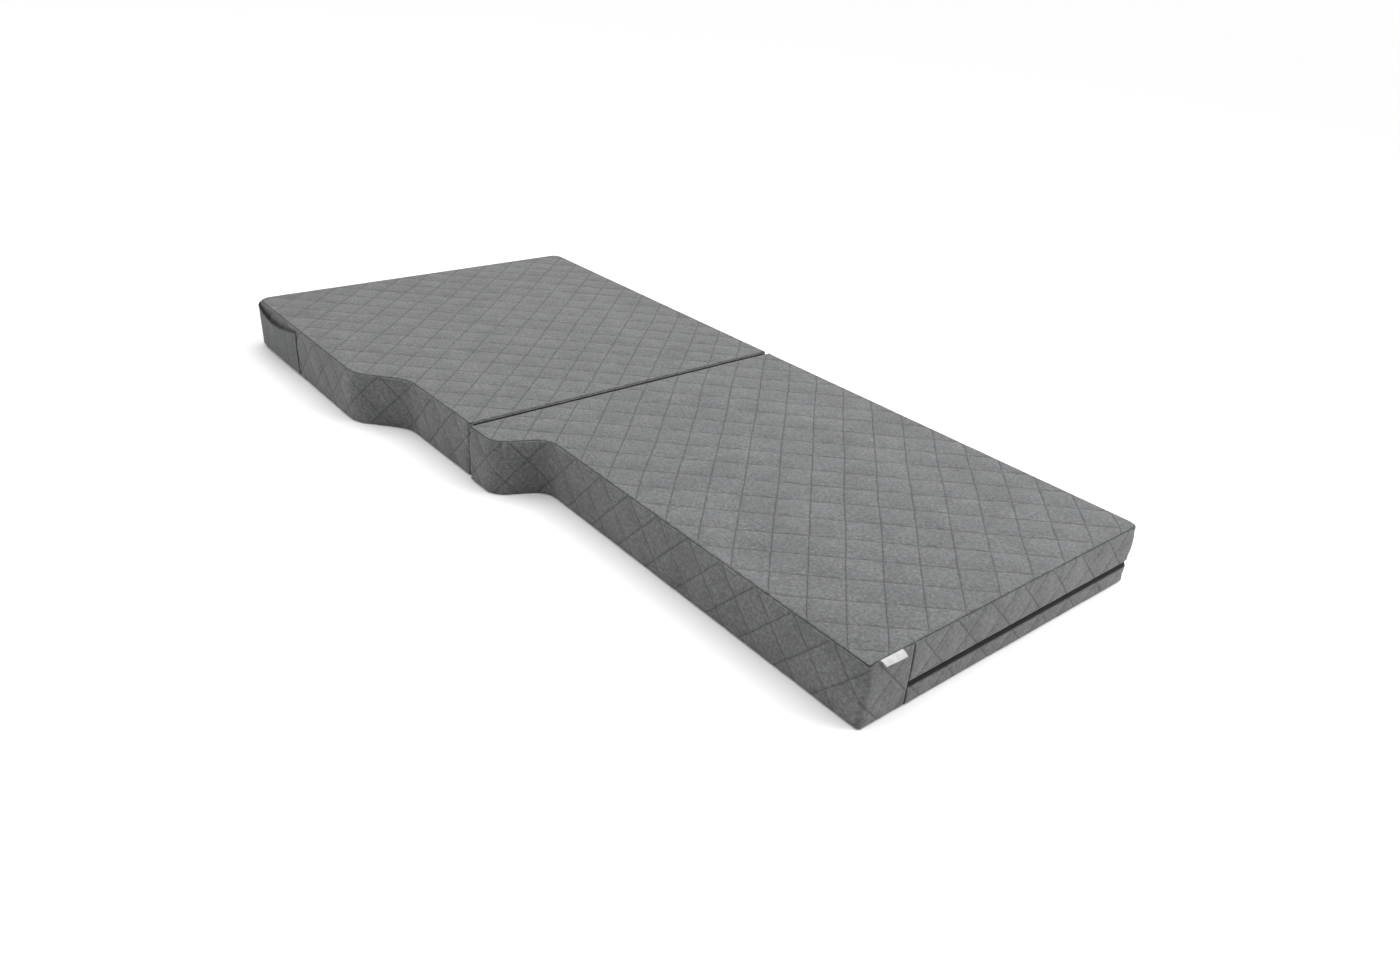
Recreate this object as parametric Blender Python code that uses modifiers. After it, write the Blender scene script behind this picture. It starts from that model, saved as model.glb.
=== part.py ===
# Two-section folding memory foam mattress in a quilted, zipped fabric cover.
# One long side is straight. The other is shaped: narrow at the foot, a lobe beside the fold,
# a waist, and a wide head end. Units are metres.
# +X runs from the head end to the foot end, +Y from the shaped side to the straight side, +Z up.
# The origin is under the middle of the whole object, on the surface it lies on.

import math

import bmesh
import bpy
from mathutils import Matrix, Vector

# Whole mattress
LENGTH = 1.950              # head face to foot face
THICKNESS = 0.120
OVERALL_WIDTH = 0.922       # straight side to the outside of the filled-out pocket
FOOT_WIDTH = 0.757          # at the foot face
FOOT_WIDTH_AT_STEP = 0.735  # where the foot part steps out to the lobe
LOBE_WIDTH = 0.836
WAIST_WIDTH = 0.830
SHOULDER_WIDTH = 0.916
HEAD_WIDTH = 0.908          # at the head face

# Places along the mattress, measured from the fold
FOLD_FROM_FOOT = 1.0125
FOLD_GAP = 0.005
LOBE_FROM_FOLD = 0.0955
STEP_FROM_FOLD = 0.1395
WAIST_FROM_FOLD = 0.2695
SHOULDER_FROM_FOLD = 0.3635
FOLD_AXIS_ABOVE_TOP = 0.0005

# Corner rounding seen from above
STEP_RADIUS = 0.045
SHOULDER_RADIUS = 0.070
FOLD_CORNER_RADIUS = 0.012
FOOT_NEAR_RADIUS = 0.014
FOOT_FAR_RADIUS = 0.022
HEAD_NEAR_RADIUS = 0.035
HEAD_FAR_RADIUS = 0.025
ARC_STEPS = 6

# Layers, from the floor up
FIT_GAP = 0.0003            # between pieces that touch
BOTTOM_PANEL = 0.0025
TOP_PANEL = 0.0050
TOP_EDGE_ROUND = 0.0018
MEMORY_FOAM = 0.0350
BAND_THICKNESS = 0.0044
FOAM_INSET = 0.0070

# Seams of the side bands
ZIP_SEAM_FROM_CORNER = 0.104   # on the end faces, from the shaped side
ZIP_END_FROM_FOLD = 0.045      # on the straight side
FOLD_SEAM_FROM_CORNER = 0.040  # on the fold faces, from the shaped side

# Zip: heights are measured from its centre line, depths inwards from the cover's face
ZIP_HEIGHT = 0.040
ZIP_OPENING_HALF = 0.0060
COIL_NEAR = 0.0006
COIL_FAR = 0.0026
COIL_DEPTHS = (0.0033, 0.0053)
TAPE_NEAR = COIL_FAR + FIT_GAP
TAPE_FAR = 0.0160
TAPE_DEPTHS = (0.0047, 0.0053)
STOP_LENGTH = 0.0030
SLIDER_FROM_END = 0.012
SLIDER_LENGTH = 0.0140
SLIDER_HALF_WIDTH = 0.0044
SLIDER_OUTER_PLATE = (0.0020, 0.0030)
SLIDER_INNER_PLATE = (0.0056, 0.0064)
SLIDER_WEB_HALF = 0.0003
SLIDER_WEB_FILLET = 0.0002  # the plates thicken a little towards the web
ARCH_HALF_LENGTH = 0.0035
ARCH_LEG = 0.0012
ARCH_ROOF = 0.0006
ARCH_HALF_WIDTH = 0.0008
PULL_DEPTH = 0.0013         # of its pivot
PULL_THICKNESS = 0.0008
PULL_LENGTH = 0.0240
PULL_HALF_WIDTH = 0.0023
PULL_EYE_HALF_WIDTH = 0.00115
PULL_EYE_END = 0.0045

# Woven label in the seam at the foot end
LABEL_WIDTH = 0.050
LABEL_DROP = 0.014
LABEL_TOP = 0.1185
LABEL_FROM_CORNER = 0.028
LABEL_LAYER = 0.0005
LABEL_PROUD = FIT_GAP + 2 * LABEL_LAYER + FIT_GAP

# Open side pocket at the head end
POCKET_LENGTH = 0.226       # along the side, from the end of the head corner
POCKET_BOTTOM = 0.0035
POCKET_TOP = 0.112
POCKET_SAG = 0.016
POCKET_CLOTH = 0.0018
POCKET_EDGE_GAP = 0.0009    # the flat facets of the head corner need a little more room
POCKET_HEM_RADIUS = 0.0013
POCKET_COLUMNS = 24
POCKET_ROWS = 8

# Fold strip
STRIP_LOW = 0.1165
STRIP_HIGH = 0.1175

FOOT_X = (LENGTH - LABEL_PROUD) / 2
HEAD_X = FOOT_X - LENGTH
FOLD_X = FOOT_X - FOLD_FROM_FOOT
FAR_Y = OVERALL_WIDTH / 2
BAND_LOW = BOTTOM_PANEL + FIT_GAP
BAND_HIGH = THICKNESS - TOP_PANEL - FIT_GAP
FOAM_JOIN = BAND_HIGH - MEMORY_FOAM

SURFACES = {
    "quilted_fabric": ((0.21, 0.215, 0.22), 0.95, 0.0),
    "base_fabric": ((0.15, 0.155, 0.16), 0.95, 0.0),
    "memory_foam": ((0.78, 0.80, 0.70), 0.90, 0.0),
    "base_foam": ((0.80, 0.79, 0.74), 0.90, 0.0),
    "zip_tape": ((0.030, 0.031, 0.034), 0.85, 0.0),
    "zip_coil": ((0.022, 0.022, 0.024), 0.45, 0.0),
    "zip_metal": ((0.040, 0.040, 0.043), 0.38, 0.8),
    "label_satin": ((0.78, 0.78, 0.76), 0.55, 0.0),
    "hem_binding": ((0.060, 0.061, 0.064), 0.90, 0.0),
}


def start_clean():
    for thing in list(bpy.data.objects):
        bpy.data.objects.remove(thing, do_unlink=True)


def make_collection(name):
    collection = bpy.data.collections.new(name)
    bpy.context.scene.collection.children.link(collection)
    return collection


def make_material(name):
    # Each node gets its own copy of its surface.
    colour, roughness, metallic = SURFACES[name]
    material = bpy.data.materials.new(name)
    material.use_nodes = True
    shader = material.node_tree.nodes["Principled BSDF"]
    shader.inputs["Base Color"].default_value = (*colour, 1.0)
    shader.inputs["Roughness"].default_value = roughness
    shader.inputs["Metallic"].default_value = metallic
    return material


def add_object(name, mesh, surface, collection, parent=None):
    thing = bpy.data.objects.new(name, mesh)
    collection.objects.link(thing)
    mesh.materials.append(make_material(surface))
    if parent:
        thing.parent = parent
        thing.matrix_parent_inverse = parent.matrix_world.inverted()
    return thing


def add_empty(name, place, collection, parent=None):
    empty = bpy.data.objects.new(name, None)
    collection.objects.link(empty)
    empty.empty_display_size = 0.03
    empty.location = place
    if parent:
        empty.parent = parent
        empty.matrix_parent_inverse = parent.matrix_world.inverted()
    bpy.context.view_layer.update()
    return empty


# Outlines seen from above: named corners, each with a radius, counter-clockwise.

def corner(name, x, y, radius=0.0):
    return {"name": name, "point": Vector((x, y)), "radius": radius}


def directions(corners, index):
    here = corners[index]["point"]
    before = (here - corners[index - 1]["point"]).normalized()
    after = (corners[(index + 1) % len(corners)]["point"] - here).normalized()
    return before, after


def left_of(direction):
    return Vector((-direction.y, direction.x))


def inset(corners, depth):
    # Moves every side inwards, so that round corners stay parallel.
    moved = []
    for index, here in enumerate(corners):
        before, after = directions(corners, index)
        inwards = (left_of(before) + left_of(after)).normalized()
        reach = depth / math.sqrt((1 + before.dot(after)) / 2)
        radius = here["radius"]
        if radius:
            radius -= math.copysign(depth, before.cross(after))
        point = here["point"] + inwards * reach
        moved.append(corner(here["name"], point.x, point.y, radius))
    return moved


def rounded(corners):
    # One list of points for each corner: an arc, or a single point where the radius is 0.
    pieces = []
    for index, here in enumerate(corners):
        radius = here["radius"]
        if not radius:
            pieces.append((here["name"], [here["point"]]))
            continue
        before, after = directions(corners, index)
        turn = math.atan2(before.cross(after), before.dot(after))
        start = here["point"] - before * radius * math.tan(abs(turn) / 2)
        centre = start + left_of(before) * math.copysign(radius, turn)
        arm = start - centre
        steps = range(ARC_STEPS + 1)
        arc = [centre + Matrix.Rotation(turn * step / ARC_STEPS, 2) @ arm for step in steps]
        pieces.append((here["name"], arc))
    return pieces


def closed_outline(corners, depth=0.0):
    return [point for _, points in rounded(inset(corners, depth)) for point in points]


def run(corners, depth, first, last):
    # The points from one named corner round to another.
    pieces = rounded(inset(corners, depth))
    index = [name for name, _ in pieces].index(first)
    points = list(pieces[index][1])
    while pieces[index][0] != last:
        index = (index + 1) % len(pieces)
        points += pieces[index][1]
    return points


def shortened(points, amount):
    start = points[0] + (points[1] - points[0]).normalized() * amount
    end = points[-1] + (points[-2] - points[-1]).normalized() * amount
    return [start] + points[1:-1] + [end]


def strip_outline(corners, ends, depths, cut):
    # A wall that follows the outline between two corners, cut back a little at both ends.
    outer = shortened(run(corners, depths[0], *ends), cut)
    inner = shortened(run(corners, depths[1], *ends), cut)
    return outer + inner[::-1]


# Solids

def flat_mesh(name, outlines, low, high):
    # A flat outline, with any holes, given a thickness along Z.
    curve = bpy.data.curves.new(name, "CURVE")
    curve.dimensions = "2D"
    curve.fill_mode = "BOTH"
    curve.extrude = (high - low) / 2
    for outline in outlines:
        spline = curve.splines.new("POLY")
        spline.points.add(len(outline) - 1)
        for point, (x, y) in zip(spline.points, outline):
            point.co = (x, y, 0.0, 1.0)
        spline.use_cyclic_u = True
    guide = bpy.data.objects.new(name, curve)
    mesh = mesh_of_curve(guide, name)
    mesh.transform(Matrix.Translation((0.0, 0.0, (low + high) / 2)))
    return mesh


def mesh_of_curve(guide, name):
    bpy.context.scene.collection.objects.link(guide)
    graph = bpy.context.evaluated_depsgraph_get()
    mesh = bpy.data.meshes.new_from_object(guide.evaluated_get(graph))
    mesh.name = name
    shape = bmesh.new()
    shape.from_mesh(mesh)
    bmesh.ops.remove_doubles(shape, verts=shape.verts, dist=0.00001)
    bmesh.ops.recalc_face_normals(shape, faces=shape.faces)
    shape.to_mesh(mesh)
    shape.free()
    bpy.data.objects.remove(guide, do_unlink=True)
    return mesh


def round_edges(thing, width):
    bevel = thing.modifiers.new("edge", "BEVEL")
    bevel.width = width
    bevel.segments = 2
    bevel.limit_method = "ANGLE"
    bevel.angle_limit = math.radians(60)


def columns(first, second, third):
    # Turns a shape so that its own X, Y and Z lie along three given directions.
    return Matrix((first, second, third)).transposed().to_4x4()


# Outlines of the two sections

def foot_corners():
    fold = FOLD_X + FOLD_GAP / 2
    foot_near = FAR_Y - FOOT_WIDTH
    lobe = FAR_Y - LOBE_WIDTH
    return [
        corner("near_end", FOOT_X, foot_near, FOOT_NEAR_RADIUS),
        corner("zip_seam", FOOT_X, foot_near + ZIP_SEAM_FROM_CORNER),
        corner("far_end", FOOT_X, FAR_Y, FOOT_FAR_RADIUS),
        corner("zip_end", fold + ZIP_END_FROM_FOLD, FAR_Y),
        corner("far_fold", fold, FAR_Y, FOLD_CORNER_RADIUS),
        corner("fold_seam", fold, lobe + FOLD_SEAM_FROM_CORNER),
        corner("near_fold", fold, lobe, FOLD_CORNER_RADIUS),
        corner("lobe", FOLD_X + LOBE_FROM_FOLD, lobe, STEP_RADIUS),
        corner("step", FOLD_X + STEP_FROM_FOLD, FAR_Y - FOOT_WIDTH_AT_STEP, STEP_RADIUS),
    ]


def head_corners():
    fold = FOLD_X - FOLD_GAP / 2
    waist = FAR_Y - WAIST_WIDTH
    head_near = FAR_Y - HEAD_WIDTH
    return [
        corner("near_fold", fold, waist, FOLD_CORNER_RADIUS),
        corner("fold_seam", fold, waist + FOLD_SEAM_FROM_CORNER),
        corner("far_fold", fold, FAR_Y, FOLD_CORNER_RADIUS),
        corner("zip_end", fold - ZIP_END_FROM_FOLD, FAR_Y),
        corner("far_end", HEAD_X, FAR_Y, HEAD_FAR_RADIUS),
        corner("zip_seam", HEAD_X, head_near + ZIP_SEAM_FROM_CORNER),
        corner("near_end", HEAD_X, head_near, HEAD_NEAR_RADIUS),
        corner("shoulder", FOLD_X - SHOULDER_FROM_FOLD, FAR_Y - SHOULDER_WIDTH, SHOULDER_RADIUS),
        corner("waist", FOLD_X - WAIST_FROM_FOLD, waist, SHOULDER_RADIUS),
    ]


# Sub-parts of one section. A section is a dictionary with its name, corners, seams,
# collection, fold axis and the direction in which its zip opens.

def make_foams(section):
    base = [closed_outline(section["corners"], FOAM_INSET)]
    low = BOTTOM_PANEL + FIT_GAP
    mesh = flat_mesh("base_foam", base, low, FOAM_JOIN - FIT_GAP)
    place(section, "base_foam", mesh, "base_foam")
    mesh = flat_mesh("memory_foam", base, FOAM_JOIN, BAND_HIGH)
    place(section, "memory_foam", mesh, "memory_foam")


def make_panels(section):
    outline = [closed_outline(section["corners"])]
    mesh = flat_mesh("bottom_panel", outline, 0.0, BOTTOM_PANEL)
    place(section, "bottom_panel", mesh, "base_fabric")
    mesh = flat_mesh("top_panel", outline, BAND_HIGH + FIT_GAP, THICKNESS)
    top = place(section, "top_panel", mesh, "quilted_fabric")
    round_edges(top, TOP_EDGE_ROUND)


def make_bands(section):
    depths = (0.0, BAND_THICKNESS)
    opening_low = ZIP_HEIGHT - ZIP_OPENING_HALF
    opening_high = ZIP_HEIGHT + ZIP_OPENING_HALF
    bands = [
        ("side_band", section["side_run"], BAND_LOW, BAND_HIGH),
        ("fold_band", section["fold_run"], BAND_LOW, BAND_HIGH),
        ("zip_band_lower", section["zip_run"], BAND_LOW, opening_low),
        ("zip_band_upper", section["zip_run"], opening_high, BAND_HIGH),
    ]
    for name, ends, low, high in bands:
        outline = strip_outline(section["corners"], ends, depths, FIT_GAP / 2)
        place(section, name, flat_mesh(name, [outline], low, high), "quilted_fabric")


def make_zip_rows(section):
    # Two tapes and two coils, a pair on each side of the slider's web.
    rows = [
        ("zip_tape", TAPE_DEPTHS, TAPE_NEAR, TAPE_FAR, FIT_GAP, "zip_tape"),
        ("zip_coil", COIL_DEPTHS, COIL_NEAR, COIL_FAR, 2 * STOP_LENGTH, "zip_coil"),
    ]
    for name, depths, near, far, cut, surface in rows:
        outline = [strip_outline(section["corners"], section["zip_run"], depths, cut)]
        lower = flat_mesh(name, outline, ZIP_HEIGHT - far, ZIP_HEIGHT - near)
        place(section, name + "_lower", lower, surface)
        upper = flat_mesh(name, outline, ZIP_HEIGHT + near, ZIP_HEIGHT + far)
        place(section, name + "_upper", upper, surface)


def make_zip_stops(section):
    # A clamped stop past each end of the coils.
    depth = sum(COIL_DEPTHS) / 2
    path = run(section["corners"], depth, *section["zip_run"])
    ends = {"start": (path[0], path[1]), "end": (path[-1], path[-2])}
    for name, (end, beyond) in ends.items():
        along = (beyond - end).normalized()
        centre = end + along * STOP_LENGTH
        bpy.ops.mesh.primitive_cube_add(size=1.0)
        cube = bpy.context.object
        mesh = cube.data
        bpy.data.objects.remove(cube, do_unlink=True)
        size = (STOP_LENGTH, COIL_DEPTHS[1] - COIL_DEPTHS[0], 2 * COIL_FAR)
        mesh.transform(Matrix.Diagonal((*size, 1.0)))
        mesh.transform(Matrix.Rotation(math.atan2(along.y, along.x), 4, "Z"))
        mesh.transform(Matrix.Translation((centre.x, centre.y, ZIP_HEIGHT)))
        stop = place(section, "zip_stop_" + name, mesh, "zip_metal")
        round_edges(stop, 0.0004)


def slider_mesh():
    # Two plates joined by a thin web that runs between the coils.
    wide = SLIDER_HALF_WIDTH
    web = SLIDER_WEB_HALF
    outer_face, outer_back = SLIDER_OUTER_PLATE
    inner_face, inner_back = SLIDER_INNER_PLATE
    web_low = -inner_face + SLIDER_WEB_FILLET
    web_high = -outer_back - SLIDER_WEB_FILLET
    right_half = [(wide, -inner_back), (wide, -inner_face), (web, web_low),
                  (web, web_high), (wide, -outer_back), (wide, -outer_face)]
    left_half = [(-x, y) for x, y in reversed(right_half)]
    mesh = flat_mesh("slider", [right_half + left_half], -SLIDER_LENGTH / 2, SLIDER_LENGTH / 2)
    mesh.transform(columns((0, 0, 1), (0, 1, 0), (-1, 0, 0)))
    return mesh


def arch_mesh():
    # The small bridge that holds the pull.
    foot = -SLIDER_OUTER_PLATE[0] - 0.0002
    far = ARCH_HALF_LENGTH
    near = far - ARCH_LEG
    outline = [(-far, foot), (-near, foot), (-near, -ARCH_ROOF), (near, -ARCH_ROOF),
               (near, foot), (far, foot), (far, 0.0), (-far, 0.0)]
    return flat_mesh("arch", [outline], -ARCH_HALF_WIDTH, ARCH_HALF_WIDTH)


def pull_mesh(opening):
    # A flat tab with a round tip and an eye round the arch. Its pivot is at its own origin.
    half = PULL_HALF_WIDTH
    start = -PULL_THICKNESS / 2
    tip_centre = PULL_LENGTH - half
    angles = [math.radians(-90 + 180 * step / 8) for step in range(9)]
    tip = [(tip_centre + half * math.cos(a), half * math.sin(a)) for a in angles]
    tab = [(start, -half)] + tip + [(start, half)]
    eye = [(-start, -PULL_EYE_HALF_WIDTH), (PULL_EYE_END, -PULL_EYE_HALF_WIDTH),
           (PULL_EYE_END, PULL_EYE_HALF_WIDTH), (-start, PULL_EYE_HALF_WIDTH)]
    mesh = flat_mesh("pull", [tab, eye], start, -start)
    mesh.transform(columns((opening, 0, 0), (0, 0, 1), (0, -opening, 0)))
    return mesh


def make_slider(section, cutters):
    # The slider is parked at the closed end, beside the fold. It opens away from the fold.
    opening = section["opening"]
    end = run(section["corners"], 0.0, *section["zip_run"])[section["zip_end_index"]]
    x = end.x + opening * SLIDER_FROM_END
    home = add_empty(section["name"] + "_slider_axis", (x, FAR_Y, ZIP_HEIGHT),
                     section["collection"], section["axis"])
    slider = add_object(section["name"] + "_zip_slider", slider_mesh(), "zip_metal",
                        section["collection"])
    slider.location = home.matrix_world.translation
    arch = add_object(section["name"] + "_slider_arch", arch_mesh(), "zip_metal", cutters)
    arch.location = slider.location
    arch.hide_render = True
    arch.display_type = "WIRE"
    union = slider.modifiers.new("arch", "BOOLEAN")
    union.operation = "UNION"
    union.solver = "EXACT"
    union.object = arch
    pull = add_object(section["name"] + "_zip_pull", pull_mesh(opening), "zip_metal",
                      section["collection"])
    pull.location = (x, FAR_Y - PULL_DEPTH, ZIP_HEIGHT)
    bpy.context.view_layer.update()
    for piece in (slider, arch, pull):
        piece.parent = home
        piece.matrix_parent_inverse = home.matrix_world.inverted()


def place(section, name, mesh, surface):
    full_name = section["name"] + "_" + name
    return add_object(full_name, mesh, surface, section["collection"], section["axis"])


def make_section(section, cutters):
    make_foams(section)
    make_panels(section)
    make_bands(section)
    make_zip_rows(section)
    make_zip_stops(section)
    make_slider(section, cutters)


# Pieces that only one section has

def make_label(section):
    near = FOOT_X + FIT_GAP
    far = FOOT_X + LABEL_PROUD
    low = LABEL_TOP - LABEL_DROP
    cloth = LABEL_LAYER
    folded = [(near, LABEL_TOP), (near, low), (far, low), (far, LABEL_TOP),
              (far - cloth, LABEL_TOP), (far - cloth, low + cloth),
              (near + cloth, low + cloth), (near + cloth, LABEL_TOP)]
    mesh = flat_mesh("label", [folded], -LABEL_WIDTH / 2, LABEL_WIDTH / 2)
    mesh.transform(columns((1, 0, 0), (0, 0, 1), (0, -1, 0)))
    y = FAR_Y - FOOT_WIDTH + LABEL_FROM_CORNER + LABEL_WIDTH / 2
    mesh.transform(Matrix.Translation((0.0, y, 0.0)))
    add_object("label", mesh, "label_satin", section["collection"], section["axis"])


def pocket_path(corners):
    # From the middle of the head corner's arc along the shaped side.
    arc = dict(rounded(corners))["near_end"]
    points = arc[ARC_STEPS // 2:]
    shoulder = next(item["point"] for item in corners if item["name"] == "shoulder")
    along = (shoulder - points[-1]).normalized()
    points.append(points[-1] + along * POCKET_LENGTH)
    return points


def point_on(path, share):
    # A point at a share of the path's length, with the direction out of the mattress there.
    lengths = [(b - a).length for a, b in zip(path, path[1:])]
    left = share * sum(lengths)
    for index, length in enumerate(lengths):
        if left <= length or index == len(lengths) - 1:
            break
        left -= length
    along = path[index + 1] - path[index]
    before = path[index] - path[max(index - 1, 0)]
    after = path[min(index + 2, len(path) - 1)] - path[index + 1]
    t = min(left / length, 1.0)
    near_t = min(left / 0.01, 1.0) if index == len(lengths) - 1 else t
    start_way = (along.normalized() + before.normalized()).normalized()
    end_way = (along.normalized() + after.normalized()).normalized()
    way = start_way.lerp(end_way, near_t)
    outwards = Vector((way.y, -way.x)).normalized()
    return path[index] + along * t, outwards


def pocket_mouth(share):
    return POCKET_TOP - POCKET_SAG * math.sin(math.pi * share) ** 1.2


def pocket_standoff(share, rise, fullness):
    # How far the cloth's inner face stands off the band: least at the sewn edges.
    belly = math.sin(math.pi * share) ** 0.8 * rise ** 0.8
    return POCKET_EDGE_GAP + fullness * belly


def make_pocket(section):
    corners = section["corners"]
    path = pocket_path(corners)
    middle, _ = point_on(path, 0.5)
    fullness = middle.y - (FAR_Y - OVERALL_WIDTH) - POCKET_CLOTH - POCKET_EDGE_GAP
    shape = bmesh.new()
    bmesh.ops.create_grid(shape, x_segments=POCKET_COLUMNS, y_segments=POCKET_ROWS, size=0.5)
    for vertex in shape.verts:
        share = min(max(vertex.co.x + 0.5, 0.0), 1.0)
        rise = min(max(vertex.co.y + 0.5, 0.0), 1.0)
        foot, outwards = point_on(path, share)
        spot = foot + outwards * pocket_standoff(share, rise, fullness)
        height = POCKET_BOTTOM + rise * (pocket_mouth(share) - POCKET_BOTTOM)
        vertex.co = (spot.x, spot.y, height)
    mesh = bpy.data.meshes.new("pocket_panel")
    shape.to_mesh(mesh)
    shape.free()
    panel = add_object("pocket_panel", mesh, "quilted_fabric", section["collection"],
                       section["axis"])
    cloth = panel.modifiers.new("cloth", "SOLIDIFY")
    cloth.thickness = POCKET_CLOTH
    cloth.offset = 1.0
    make_pocket_hem(section, path, fullness)


def make_pocket_hem(section, path, fullness):
    curve = bpy.data.curves.new("pocket_hem", "CURVE")
    curve.dimensions = "3D"
    curve.bevel_depth = POCKET_HEM_RADIUS
    curve.bevel_resolution = 2
    curve.use_fill_caps = True
    spline = curve.splines.new("POLY")
    spline.points.add(POCKET_COLUMNS)
    for step, point in enumerate(spline.points):
        share = step / POCKET_COLUMNS
        foot, outwards = point_on(path, share)
        reach = pocket_standoff(share, 1.0, fullness) + POCKET_CLOTH - POCKET_HEM_RADIUS
        reach = max(reach, POCKET_HEM_RADIUS + POCKET_EDGE_GAP)
        spot = foot + outwards * reach
        height = pocket_mouth(share) + POCKET_HEM_RADIUS + FIT_GAP
        point.co = (spot.x, spot.y, height, 1.0)
    guide = bpy.data.objects.new("pocket_hem", curve)
    mesh = mesh_of_curve(guide, "pocket_hem")
    add_object("pocket_hem", mesh, "hem_binding", section["collection"], section["axis"])


def make_fold_strip(section):
    half = FOLD_GAP / 2 - FIT_GAP
    low_y = FAR_Y - WAIST_WIDTH + FOLD_CORNER_RADIUS
    high_y = FAR_Y - FOLD_CORNER_RADIUS
    outline = [(FOLD_X - half, low_y), (FOLD_X + half, low_y),
               (FOLD_X + half, high_y), (FOLD_X - half, high_y)]
    mesh = flat_mesh("fold_hinge_strip", [outline], STRIP_LOW, STRIP_HIGH)
    add_object("fold_hinge_strip", mesh, "base_fabric", section["collection"], section["axis"])


def main():
    start_clean()
    mattress = make_collection("folding_mattress")
    cutters = make_collection("cutters")
    still = add_empty("foot_frame", (0.0, 0.0, 0.0), mattress)
    fold_axis = (FOLD_X, 0.0, THICKNESS + FOLD_AXIS_ABOVE_TOP)
    turning = add_empty("fold_axis", fold_axis, mattress)
    foot = {
        "name": "foot", "corners": foot_corners(), "collection": mattress, "axis": still,
        "zip_run": ("zip_seam", "zip_end"), "fold_run": ("zip_end", "fold_seam"),
        "side_run": ("fold_seam", "zip_seam"), "opening": 1, "zip_end_index": -1,
    }
    head = {
        "name": "head", "corners": head_corners(), "collection": mattress, "axis": turning,
        "zip_run": ("zip_end", "zip_seam"), "fold_run": ("fold_seam", "zip_end"),
        "side_run": ("zip_seam", "fold_seam"), "opening": -1, "zip_end_index": 0,
    }
    make_section(foot, cutters)
    make_section(head, cutters)
    make_label(foot)
    make_fold_strip(foot)
    make_pocket(head)


main()
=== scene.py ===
import math

import bmesh
import bpy
import numpy as np
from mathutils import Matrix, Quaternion, Vector


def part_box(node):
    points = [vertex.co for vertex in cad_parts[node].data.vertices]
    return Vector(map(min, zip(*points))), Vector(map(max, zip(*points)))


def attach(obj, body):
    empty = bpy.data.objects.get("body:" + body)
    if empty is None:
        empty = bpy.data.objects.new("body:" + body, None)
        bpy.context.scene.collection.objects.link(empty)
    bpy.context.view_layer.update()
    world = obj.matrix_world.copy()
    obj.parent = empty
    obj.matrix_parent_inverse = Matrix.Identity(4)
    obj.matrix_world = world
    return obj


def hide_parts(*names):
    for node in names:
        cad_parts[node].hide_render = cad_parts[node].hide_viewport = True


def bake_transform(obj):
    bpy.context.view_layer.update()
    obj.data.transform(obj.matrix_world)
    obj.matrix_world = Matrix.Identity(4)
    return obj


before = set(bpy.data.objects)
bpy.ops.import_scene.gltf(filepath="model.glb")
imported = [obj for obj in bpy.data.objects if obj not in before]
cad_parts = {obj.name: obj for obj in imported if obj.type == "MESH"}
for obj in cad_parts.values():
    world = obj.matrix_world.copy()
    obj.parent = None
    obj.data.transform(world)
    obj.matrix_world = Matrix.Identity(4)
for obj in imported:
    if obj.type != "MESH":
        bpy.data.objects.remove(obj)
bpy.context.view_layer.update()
print("frame loaded,", len(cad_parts), "nodes")


# Small helpers

def deselectAll():
    if bpy.context.object and bpy.context.object.mode != "OBJECT":
        bpy.ops.object.mode_set(mode="OBJECT")
    bpy.ops.object.select_all(action="DESELECT")


def makeActive(piece):
    deselectAll()
    piece.select_set(True)
    bpy.context.view_layer.objects.active = piece


def applyModifier(piece, kind, **values):
    makeActive(piece)
    modifier = piece.modifiers.new(kind.lower(), kind)
    for key, value in values.items():
        setattr(modifier, key, value)
    bpy.ops.object.modifier_apply(modifier=modifier.name)


def readPoints(piece):
    flat = np.empty(len(piece.data.vertices) * 3)
    piece.data.vertices.foreach_get("co", flat)
    return flat.reshape(-1, 3)


def writePoints(piece, points):
    piece.data.vertices.foreach_set("co", np.ascontiguousarray(points).ravel())
    piece.data.update()


def flatGrid(columns, rows):
    deselectAll()
    bpy.ops.mesh.primitive_grid_add(x_subdivisions=columns, y_subdivisions=rows, size=1.0)
    return bpy.context.object


def newPiece(name, mesh):
    piece = bpy.data.objects.new(name, mesh)
    bpy.context.collection.objects.link(piece)
    return piece


def openShape(piece):
    shape = bmesh.new()
    shape.from_mesh(piece.data)
    return shape


def closeShape(shape, piece):
    shape.to_mesh(piece.data)
    shape.free()
    piece.data.update()


def turnFaces(piece, over=False):
    # Makes the faces point outwards, or turns every face over
    makeActive(piece)
    bpy.ops.object.mode_set(mode="EDIT")
    bpy.ops.mesh.select_all(action="SELECT")
    if over:
        bpy.ops.mesh.flip_normals()
    else:
        bpy.ops.mesh.normals_make_consistent(inside=False)
    bpy.ops.object.mode_set(mode="OBJECT")


def thicken(piece, thickness):
    applyModifier(piece, "SOLIDIFY", thickness=thickness, offset=-1.0)
    makeActive(piece)
    bpy.ops.object.shade_smooth()


def finishPiece(piece, name, material, body, slot, *nodes):
    piece.name = name
    piece.data.name = name
    piece.data.materials.clear()
    piece.data.materials.append(material)
    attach(piece, body)
    if nodes:
        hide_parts(*nodes)


def unevenness(x, y, size, seed):
    # A soft wandering value between about -1 and 1, the same on every run
    rng = np.random.default_rng(seed)
    total = np.zeros_like(x)
    for turn in range(7):
        angle = rng.uniform(0, 2 * math.pi)
        pitch = size * rng.uniform(0.6, 1.9)
        start = rng.uniform(0, 2 * math.pi)
        total += np.sin((x * math.cos(angle) + y * math.sin(angle)) * 2 * math.pi / pitch + start)
    return total / 3.2


# Camera, floor and light

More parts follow.
